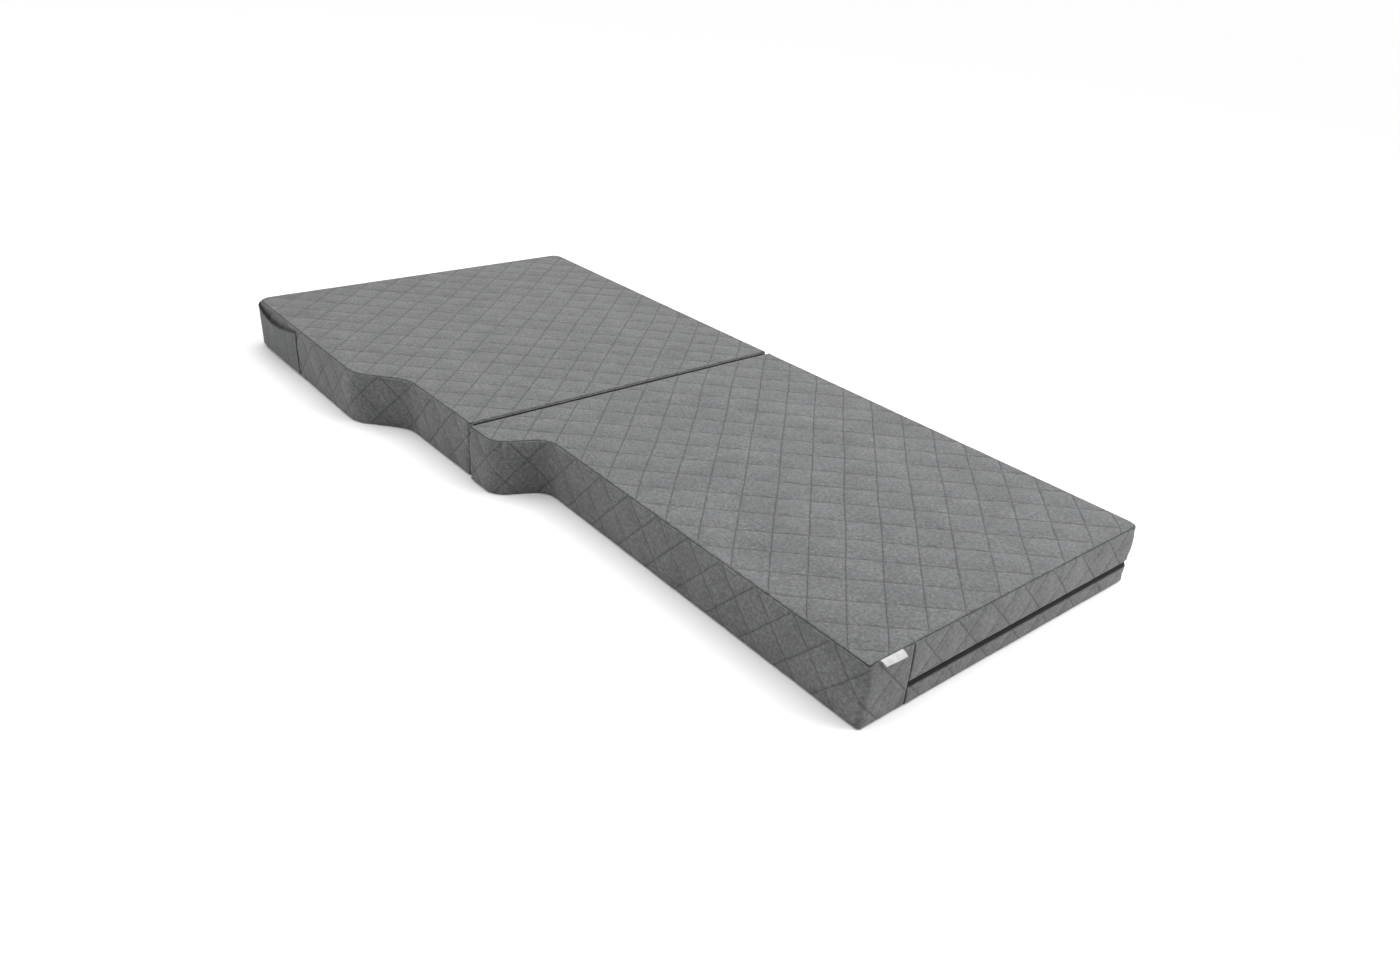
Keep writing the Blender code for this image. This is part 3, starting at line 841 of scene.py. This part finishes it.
def rollEdge(outline, flat, look):
    # Where each flat point comes to across the panel, how far it drops, and its depth
    depth, place, way, spots = outline.depthOf(flat)
    last = look["rows"][-1]
    corner = outline.sharpness(spots)
    sharp = cornerEar["ease"] * corner * np.clip(1 - depth / last, 0, 1)
    inset = np.interp(depth, look["rows"], look["inset"]) * (1 - sharp) + depth * sharp
    inset -= outline.ear(spots) * np.exp(-depth / cornerEar["panelFade"])
    drop = np.interp(depth, look["rows"], look["drop"])
    drop *= 1 - cornerEar["lift"] * corner * np.clip(depth / cornerEar["liftOver"], 0, 1)
    settle = 0.03       # the roll's leftover shift fades out over this distance
    beyond = np.clip(1 - (depth - last) / settle, 0, 1) * (look["inset"][-1] - last)
    inset = np.where(depth > last, depth + beyond, inset)
    near = (depth < last + settle)[:, None]
    spread = np.where(near, flat - way * (inset - depth)[:, None], flat)
    edge = (depth < last)[:, None]
    return np.where(edge, place - way * inset[:, None], spread), drop, depth


def makeTopPanel(side, outline, quilt, seed):
    node = side + "_top_panel"
    low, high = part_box(node)
    sheet = flatLattice(quilt, low[:2], high[:2], sheetStops)
    cutAlong(sheet, [outline.ring(row, 2) for row in topPanel["rows"][:-1]])
    keepFlatFaces(sheet, outline.holds)
    flat = readPoints(sheet)[:, :2].copy()
    spread, drop, depth = rollEdge(outline, flat, topPanel)
    puff = puffHeights(sheet, quilt, flat, depth, topPanel["puff"], topPanel["softness"])
    fade = np.clip((depth - topPanel["flatEdge"]) / topPanel["fade"], 0.0, 1.0)
    wave = unevenness(flat[:, 0], flat[:, 1], topPanel["waveSize"], seed) * topPanel["waviness"] * fade
    lift = (puff - topPanel["puff"]) * fade - drop - np.abs(wave)
    writePoints(sheet, np.column_stack([spread, high[2] + lift]))
    finishQuilted(sheet, quilt, flat, depth, side + "TopPanel", side + "_section", node)


def makeBottomPanel(side, outline):
    node = side + "_bottom_panel"
    low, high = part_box(node)
    cell = bottomPanel["cell"]
    squares = {"turns": (0.0, 90.0), "pitches": (cell, cell), "starts": (0.0, 0.0)}
    sheet = flatLattice(squares, low[:2], high[:2], (0.0, 0.5))
    cutAlong(sheet, [outline.ring(row, 3) for row in bottomPanel["rows"]])
    keepFlatFaces(sheet, outline.holds)
    flat = readPoints(sheet)[:, :2].copy()
    spread, rise, depth = rollEdge(outline, flat, bottomPanel)
    writePoints(sheet, np.column_stack([spread, low[2] + rise]))
    turnFaces(sheet, over=True)
    thicken(sheet, bottomPanel["cloth"])
    finishPiece(sheet, side + "BottomPanel", baseCloth, side + "_section", "base_fabric", node)


# Side bands. A band's flat sheet runs along the outline in one direction and up in the other. Each of
# its edges turns in to its seam: gaps are measured on the flat sheet, from the edge.

bandLook = {
    "belly": 0.0012,
    "puff": 0.0022,
    "softness": 0.0070,
    "waviness": 0.0005,
    "waveSize": 0.12,
    "fade": 0.008,
    "columnStep": 0.004,
    "topRoll": {"gaps": (0.0, 0.0012, 0.0024, 0.0038, 0.0055, 0.0080),
                "inset": (0.0050, 0.0038, 0.0025, 0.0012, 0.0004, 0.0),
                "drop": (0.0037, 0.0030, 0.0031, 0.0039, 0.0055, 0.0080)},
    "bottomRoll": {"gaps": (0.0, 0.0012, 0.0024, 0.0038, 0.0060),
                   "inset": (0.0028, 0.0018, 0.0009, 0.0003, 0.0),
                   "drop": (0.0022, 0.0023, 0.0028, 0.0040, 0.0060)},
    "uprightRoll": {"gaps": (0.0, 0.0008, 0.0018, 0.0032, 0.0050),
                    "inset": (0.0030, 0.0020, 0.0010, 0.0003, 0.0)},
    "zipRoll": {"gaps": (0.0, 0.0008, 0.0018, 0.0030, 0.0048),
                "inset": (0.0026, 0.0017, 0.0009, 0.0003, 0.0)},
    "zipLap": 0.0008,       # the folded hems lap over the zip by this much
}


def bendColumns(outline, start, end):
    # Extra columns where the outline turns
    spots = np.arange(start, end, bandLook["columnStep"])
    _, ways = outline.at(spots)
    turning = np.linalg.norm(np.diff(ways, axis=0), axis=1) > 0.012
    return [float(spot) for spot, bends in zip(spots[1:], turning) if bends]


def rollOf(look, gap, part="inset"):
    return np.interp(gap, look["gaps"], look[part])


def shapeBand(outline, flat, start, end, low, high, zipEdge, puff, seed):
    # Wraps the flat sheet round the outline, with its edges turned in
    place, way = outline.at(flat[:, 0])
    below = flat[:, 1] - low
    above = high - flat[:, 1]
    lowRoll = bandLook["zipRoll"] if zipEdge == "low" else bandLook["bottomRoll"]
    highRoll = bandLook["zipRoll"] if zipEdge == "high" else bandLook["topRoll"]
    sideways = np.minimum(flat[:, 0] - start, end - flat[:, 0])
    corner = outline.sharpness(flat[:, 0])
    sharp = 1 - cornerEar["ease"] * corner
    inset = np.maximum(rollOf(lowRoll, below) * sharp, rollOf(highRoll, above) * sharp)
    inset = np.maximum(inset, rollOf(bandLook["uprightRoll"], sideways))
    inset -= outline.ear(flat[:, 0]) * np.exp(-np.minimum(below, above) / cornerEar["fade"])
    height = flat[:, 1].copy()
    if zipEdge != "low":
        height = np.where(below < lowRoll["gaps"][-1], low + rollOf(lowRoll, below, "drop"), height)
    if zipEdge != "high":
        drop = rollOf(highRoll, above, "drop")
        drop += np.maximum(highRoll["drop"][0] - drop, 0) * corner    # no raised rim at a corner
        height = np.where(above < highRoll["gaps"][-1], high - drop, height)
    nearEdge = np.minimum(np.minimum(below, above), sideways)
    fade = np.clip(nearEdge / bandLook["fade"], 0, 1)
    wave = unevenness(flat[:, 0], flat[:, 1], bandLook["waveSize"], seed) * bandLook["waviness"] * fade
    belly = bandLook["belly"] * np.sin(math.pi * np.clip(below / (high - low), 0, 1)) ** 0.7
    out = belly - inset + (puff - bandLook["puff"]) * fade + wave
    return np.column_stack([place + way * out[:, None], height])


def makeBand(name, side, node, outline, quilt, start, end, low, high, zipEdge, seed):
    if zipEdge == "low":
        low -= bandLook["zipLap"]
    if zipEdge == "high":
        high += bandLook["zipLap"]
    sheet = flatLattice(quilt, (start, low), (end, high), sheetStops)
    edgeGaps = bandLook["uprightRoll"]["gaps"]
    rows = [low + gap for gap in bandLook["bottomRoll"]["gaps"]]
    rows += [high - gap for gap in bandLook["topRoll"]["gaps"]]
    columns = [start + gap for gap in edgeGaps] + [end - gap for gap in edgeGaps]
    columns = sorted(columns + bendColumns(outline, start + 0.006, end - 0.006))
    cuts = [((spot, 0, 0), (1, 0, 0)) for spot in columns] + [((0, spot, 0), (0, 1, 0)) for spot in rows]
    cutPlanes(sheet, cuts, 0.00005)

    def inBand(middles):
        along = (middles[:, 0] > start) & (middles[:, 0] < end)
        return along & (middles[:, 1] > low) & (middles[:, 1] < high)

    keepFlatFaces(sheet, inBand)
    flat = readPoints(sheet)[:, :2].copy()
    edges = np.stack([flat[:, 0] - start, end - flat[:, 0], flat[:, 1] - low, high - flat[:, 1]])
    gaps = edges.min(axis=0)
    puff = puffHeights(sheet, quilt, flat, gaps, bandLook["puff"], bandLook["softness"])
    writePoints(sheet, shapeBand(outline, flat, start, end, low, high, zipEdge, puff, seed))
    turnFaces(sheet)
    faceAway(sheet, outline)
    finishQuilted(sheet, quilt, flat, gaps, name, side + "_section", node)


def faceAway(sheet, outline):
    # Turns the faces over if most of them look in towards the middle of the section
    middle = outline.points.mean(axis=0)
    _, _, ways, _ = outline.depthOf(np.array([face.center[:2] for face in sheet.data.polygons[:400]]))
    agree = sum(face.normal[0] * way[0] + face.normal[1] * way[1]
                for face, way in zip(sheet.data.polygons[:400], ways))
    if agree < 0:
        turnFaces(sheet, over=True)


def spanBetween(outline, first, last):
    # The two spots, with the second further on counter-clockwise
    start = outline.spotNear(*first)
    end = outline.spotNear(*last)
    return start, end if end > start else end + outline.total


def seamPlaces(side):
    # Where the upright seams are: read from the ends of the bands
    zipLow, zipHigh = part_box(side + "_zip_band_upper")
    foldLow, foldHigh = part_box(side + "_fold_band")
    isFoot = side == "foot"
    end, stop, fold = (zipHigh, zipLow, foldLow) if isFoot else (zipLow, zipHigh, foldHigh)
    zipEnd, zipStop, foldSeam = (end[0], zipLow[1]), (stop[0], zipHigh[1]), (fold[0], foldLow[1])
    seams = {"zip": (zipEnd, zipStop), "fold": (zipStop, foldSeam), "side": (foldSeam, zipEnd)}
    return seams if isFoot else {run: pair[::-1] for run, pair in seams.items()}


def makeBands(side, outline, anchors, seed):
    seams = seamPlaces(side)
    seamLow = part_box(side + "_bottom_panel")[0][2]
    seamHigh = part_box(side + "_top_panel")[1][2]
    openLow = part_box(side + "_zip_band_lower")[1][2]
    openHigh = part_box(side + "_zip_band_upper")[0][2]
    runs = {
        "SideBand": ("side", "_side_band", seamLow, seamHigh, ""),
        "FoldBand": ("fold", "_fold_band", seamLow, seamHigh, ""),
        "ZipBandLower": ("zip", "_zip_band_lower", seamLow, openLow, "high"),
        "ZipBandUpper": ("zip", "_zip_band_upper", openHigh, seamHigh, "low"),
    }
    for name, (run, node, low, high, zipEdge) in runs.items():
        start, end = spanBetween(outline, *seams[run])
        x, y, z = anchors[run]
        spot = outline.spotNear(x, y)
        spot += outline.total if spot < start else 0.0
        seed += 1
        quilt = bandQuilt(spot, z)
        makeBand(side + name, side, side + node, outline, quilt, start, end, low, high, zipEdge, seed)
        print("  band", side + name)


footOutline = Outline("foot_bottom_panel")
headOutline = Outline("head_bottom_panel")
labelFromCorner = 0.028
labelCorner = (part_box("foot_bottom_panel")[1][0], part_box("label")[0][1] - labelFromCorner)
footOutline.squareSpot = footOutline.spotNear(*labelCorner)
makeTopPanel("foot", footOutline, footQuilt, 11)
makeTopPanel("head", headOutline, headQuilt, 12)
print("top panels quilted")
makeBottomPanel("foot", footOutline)
makeBottomPanel("head", headOutline)
print("bottom panels made")

footAnchors = {
    "side": (0.9417, -0.295, 0.0755),
    "fold": (-0.0358, 0.04, 0.070),
    "zip": (0.9742, 0.1235, 0.081),
}
headAnchors = {
    "side": (-0.560, -0.452, 0.074),
    "fold": (-0.0408, 0.04, 0.070),
    "zip": (-0.9758, 0.020, 0.081),
}
makeBands("foot", footOutline, footAnchors, 20)
makeBands("head", headOutline, headAnchors, 30)
print("bands quilted")


# Zip: two woven tapes behind the opening, with a coil along the edge of each

zipLook = {
    "pitch": 0.0015,
    "wire": 0.00034,
    "loopReach": 0.00226,     # across the tape
    "loopDepth": 0.0020,
    "gapHalf": 0.00033,       # the slider's web runs between the two coils
    "coilDepth": 0.0043,
    "tapeEdge": 0.0160,
    "tapeBack": 0.00532,
    "tapeThick": 0.00024,
    "tapeEnd": 0.0075,        # how far the tapes run on past the coils, under the bands
    "guardBack": 0.0066,
    "guardTall": 0.026,
    "guardEnd": 0.008,
    "coilEnd": 0.002,
}


def zipSpan(side, outline):
    # Along the outline from one end of the coils to the other, with the zip's height
    low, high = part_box(side + "_zip_coil_upper")
    middle = (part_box(side + "_zip_coil_lower")[1][2] + low[2]) / 2
    if side == "foot":
        first, last = (high[0], low[1]), (low[0], high[1])
    else:
        first, last = (high[0], high[1]), (low[0], low[1])
    start, end = spanBetween(outline, first, last)
    return start, end, middle


def coilLoop():
    # One loop of the coil, standing across the tape
    deselectAll()
    wire = 0.16
    outer = 1.32    # the round loop's width, wire and all
    bpy.ops.mesh.primitive_torus_add(major_segments=9, minor_segments=4, major_radius=0.5, minor_radius=wire)
    loop = bpy.context.object
    points = readPoints(loop)
    turn = np.arctan2(points[:, 1], points[:, 0])
    square = (np.cos(turn) ** 4 + np.sin(turn) ** 4) ** -0.25    # makes the round loop boxier
    points[:, 0] *= square * zipLook["loopReach"] / outer
    points[:, 1] *= square * zipLook["loopDepth"] / outer
    points[:, 2] *= zipLook["wire"] / wire
    points[:, 2] += points[:, 0] * 0.12
    faces = np.array([face.vertices[:] for face in loop.data.polygons])
    bpy.data.objects.remove(loop)
    return points, faces


def makeCoils(side, outline):
    start, end, middle = zipSpan(side, outline)
    loop, faces = coilLoop()
    for half, sign in (("upper", 1), ("lower", -1)):
        shift = zipLook["pitch"] / 2 if sign > 0 else 0.0
        spots = np.arange(start + zipLook["coilEnd"] + shift, end - zipLook["coilEnd"], zipLook["pitch"])
        along = spots[:, None] + loop[None, :, 2]
        depth = zipLook["coilDepth"] - loop[:, 1]
        place, way = outline.at(along.ravel())
        flat = place - way * np.tile(depth, len(spots))[:, None]
        reach = zipLook["gapHalf"] + zipLook["loopReach"] / 2 - loop[:, 0]
        height = middle + sign * np.tile(reach, len(spots))
        points = np.column_stack([flat, height])
        allFaces = (faces[None] + (np.arange(len(spots)) * len(loop))[:, None, None]).reshape(-1, 4)
        mesh = bpy.data.meshes.new("coil")
        mesh.from_pydata(points.tolist(), [], allFaces.tolist())
        coil = newPiece("coil", mesh)
        turnFaces(coil)
        makeActive(coil)
        bpy.ops.object.shade_smooth()
        name = side + "ZipCoil" + half.capitalize()
        finishPiece(coil, name, coilNylon, side + "_section", "zip_coil", side + "_zip_coil_" + half)


def makeStrip(side, outline, name, overrun, step, across, back, width, slot, *nodes):
    # A strip of cloth along the zip. across and back are its rows' heights and how deep they lie.
    start, end, middle = zipSpan(side, outline)
    start -= overrun
    end += overrun
    rows = len(across) - 1
    strip = flatGrid(int((end - start) / step), rows)
    points = readPoints(strip)
    row = np.rint((points[:, 1] + 0.5) * rows).astype(int)
    place, way = outline.at(start + (points[:, 0] + 0.5) * (end - start))
    flat = place - way * back[row][:, None]
    writePoints(strip, np.column_stack([flat, middle + across[row]]))
    turnFaces(strip)
    faceAway(strip, outline)
    thicken(strip, zipLook["tapeThick"])
    finishPiece(strip, side + name, tapeCloth, side + "_section", slot, *nodes)


def makeTapes(side, outline):
    edge, deepest, overrun = zipLook["tapeEdge"], zipLook["tapeBack"], zipLook["tapeEnd"]
    across = np.array([zipLook["gapHalf"], 0.0028, 0.0036, 0.0046, 0.0056, 0.0068, 0.0085, 0.0120, edge])
    back = np.array([deepest, deepest, 0.0049, 0.0044, 0.0040, 0.0036, 0.0034, 0.0036, 0.0040])
    for half, sign in (("upper", 1), ("lower", -1)):
        makeStrip(side, outline, "ZipTape" + half.capitalize(), overrun, 0.006, sign * across, back, edge,
                  "zip_tape", side + "_zip_tape_" + half)
    # A guard behind the zip keeps it off the foam
    tall = zipLook["guardTall"]
    across = np.linspace(-0.5, 0.5, 7) * tall
    back = np.full(7, zipLook["guardBack"])
    makeStrip(side, outline, "ZipGuard", zipLook["guardEnd"], 0.008, across, back, tall, "base_fabric")


def softenedCopy(node, bevel):
    # A merged copy of a hard piece with its sharp edges rounded over
    copy = newPiece(node + "Soft", bpy.data.objects[node].data.copy())
    shape = openShape(copy)
    bmesh.ops.remove_doubles(shape, verts=shape.verts, dist=0.00001)
    bmesh.ops.dissolve_limit(shape, angle_limit=0.03, verts=shape.verts, edges=shape.edges)
    closeShape(shape, copy)
    applyModifier(copy, "BEVEL", width=bevel, segments=2, limit_method="ANGLE", angle_limit=0.6)
    makeActive(copy)
    bpy.ops.object.shade_smooth_by_angle(angle=0.6)
    return copy


def makeSlider(side):
    slider = softenedCopy(side + "_zip_slider", 0.00022)
    finishPiece(slider, side + "ZipSlider", enamel, side + "_slider", "zip_metal", side + "_zip_slider")
    pull = softenedCopy(side + "_zip_pull", 0.00022)
    finishPiece(pull, side + "ZipPull", enamel, side + "_pull", "zip_metal", side + "_zip_pull")


def makeFoams(side):
    # The two foam layers inside the cover, with the softly cut edges of foam
    layers = (("base_foam", "BaseFoam", baseFoam), ("memory_foam", "MemoryFoam", memoryFoam))
    for part, name, material in layers:
        foam = softenedCopy(side + "_" + part, 0.003)
        finishPiece(foam, side + name, material, side + "_section", part, side + "_" + part)


for side, outline in (("foot", footOutline), ("head", headOutline)):
    makeFoams(side)
    makeCoils(side, outline)
    makeTapes(side, outline)
    makeSlider(side)
print("foam layers and zips made")


# Fold strip: a tape sewn across the gap, which on the mattress wraps round the hinge as the head folds over;
# here it is a fixed sagging strip

foldStrip = {"half": 0.0040, "sag": 0.0020, "thick": 0.0008, "columns": 16, "rows": 120}


def makeFoldStrip():
    low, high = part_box("fold_hinge_strip")
    middle = (low[0] + high[0]) / 2
    strip = flatGrid(foldStrip["columns"], foldStrip["rows"])
    points = readPoints(strip)
    across = points[:, 0] * 2
    points[:, 0] = middle + across * foldStrip["half"]
    points[:, 1] = low[1] + (points[:, 1] + 0.5) * (high[1] - low[1])
    points[:, 2] = high[2] - 0.0012 - foldStrip["sag"] * (1 - across ** 2)
    writePoints(strip, points)
    thicken(strip, foldStrip["thick"])
    strip.name = "foldStrip"
    strip.data.materials.append(foldCloth)
    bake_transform(strip)
    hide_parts("fold_hinge_strip")


makeFoldStrip()
print("fold strip made")


# Label: a blank satin loop, its ends caught in the top seam and its near end standing off the band

labelLook = {
    "columns": 32,
    "rows": 14,
    "thick": 0.0004,
    "gap": 0.0009,
    "nearTilt": 74.0,      # degrees out from hanging straight down, at the end by the corner
    "farTilt": 60.0,
    "curl": 0.0010,
    "wave": 0.0007,
    "tuck": 0.0042,        # how far in from the face the seam holds it
}


def makeLabel():
    low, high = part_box("label")
    label = flatGrid(labelLook["columns"], labelLook["rows"] * 2)
    points = readPoints(label)
    along = points[:, 0] + 0.5
    run = points[:, 1] * 2      # -1 is the top of the back, 0 the fold, 1 the top of the front
    down = 1 - np.abs(run)
    width = high[1] - low[1]
    tall = high[2] - low[2]
    tilt = np.radians(labelLook["nearTilt"] * (1 - along) + labelLook["farTilt"] * along)
    side = np.where(run > 0, 1.0, -1.0) * labelLook["gap"] / 2 * np.sqrt(np.clip(1 - down ** 6, 0, 1))
    bow = labelLook["curl"] * np.sin(down * math.pi) + labelLook["wave"] * np.sin(along * 7.0) * down
    off = bow + side
    out = low[0] - labelLook["tuck"] + tall * down * np.sin(tilt) + off * np.cos(tilt)
    height = high[2] - 0.0005 - tall * down * np.cos(tilt) + off * np.sin(tilt)
    points = np.column_stack([out, low[1] + along * width, height])
    writePoints(label, points)
    turnFaces(label)
    thicken(label, labelLook["thick"])
    finishPiece(label, "wovenLabel", satin, "foot_section", "label_satin", "label")


makeLabel()
print("label made")


# Side pocket: a slack panel sewn down on three edges, with its mouth standing open under the top seam

pocketLook = {
    "columns": 150,
    "rows": 56,
    "mouthDip": 0.016,
    "standOff": 0.0093,
    "edgeOff": 0.0022,
    "ripple": 0.0008,
    "rippleSize": 0.030,
    "rearLean": 0.006,
    "thick": 0.0012,
    "hemTall": 0.0048,
    "hemThick": 0.0024,
}


def pocketRun():
    low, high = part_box("pocket_panel")
    start, end = spanBetween(headOutline, (low[0], high[1]), (high[0], low[1]))
    return start, end, float(low[2]), float(high[2])


def pocketPlace(share, rise):
    # share runs from the head corner to the rear edge, and rise from the bottom seam to the mouth
    start, end, low, high = pocketRun()
    mouth = high - pocketLook["mouthDip"] * np.sin(math.pi * share) ** 1.2
    height = low + (mouth - low) * rise
    climb = np.clip(rise, 0, 1)
    lean = pocketLook["rearLean"] * (1 - climb) ** 2.2 - 0.002 * np.sin(math.pi * climb)
    spot = start + (end - start) * share + lean * share ** 4
    slack = np.sin(math.pi * share) ** 0.8 * climb ** 0.8
    length = end - start
    ripples = unevenness(share * length, height * 0.22 + share * 0.02, pocketLook["rippleSize"], 61)
    edge = np.clip(np.minimum(share, 1 - share) * length / 0.012, 0, 1) * np.clip(rise / 0.12, 0, 1)
    out = pocketLook["edgeOff"] + pocketLook["standOff"] * slack + pocketLook["ripple"] * ripples * edge
    pinch = np.clip(1 - np.minimum(share, 1 - share) * length / 0.003, 0, 1) * 0.0010
    pinch = np.maximum(pinch, np.clip(1 - rise * (high - low) / 0.006, 0, 1) ** 1.5 * 0.0040)
    place, way = headOutline.at(spot)
    flat = place + way * (out - pinch)[:, None]
    return np.column_stack([flat, height])


def makePocket():
    panel = flatGrid(pocketLook["columns"], pocketLook["rows"])
    points = readPoints(panel)
    writePoints(panel, pocketPlace(points[:, 0] + 0.5, points[:, 1] + 0.5))
    turnFaces(panel)
    faceAway(panel, headOutline)
    thicken(panel, pocketLook["thick"])
    finishPiece(panel, "pocketPanel", pocketCloth, "head_section", "quilted_fabric", "pocket_panel")
    start, end, _, _ = pocketRun()
    hem = makeHem()


def makeHem():
    # A binding folded over the mouth: an oval run along it and closed at both ends
    deselectAll()
    bpy.ops.mesh.primitive_cylinder_add(vertices=12, radius=1.0, depth=1.0, end_fill_type="NGON")
    hem = bpy.context.object
    slices = pocketLook["columns"]
    cuts = [((0, 0, step / slices - 0.5), (0, 0, 1)) for step in range(1, slices)]
    cutPlanes(hem, cuts, 0.00001)
    points = readPoints(hem)
    share = np.clip(points[:, 2] + 0.5, 0.0, 1.0)
    mouth = pocketPlace(share, np.ones_like(share))
    start, end, _, _ = pocketRun()
    _, way = headOutline.at(start + (end - start) * share)
    taper = 0.55 + 0.45 * np.clip(np.minimum(share, 1 - share) / 0.03, 0, 1)
    off = (points[:, 0] * pocketLook["hemThick"] / 2 - pocketLook["thick"] / 2) * taper
    flat = mouth[:, :2] + way * off[:, None]
    tall = pocketLook["hemTall"]
    height = mouth[:, 2] - tall * 0.35 + points[:, 1] * tall / 2 * taper
    writePoints(hem, np.column_stack([flat, height]))
    turnFaces(hem)
    makeActive(hem)
    bpy.ops.object.shade_smooth_by_angle(angle=0.9)
    finishPiece(hem, "pocketHem", bindingCloth, "head_section", "hem_binding", "pocket_hem")
    return hem


makePocket()
print("pocket made")
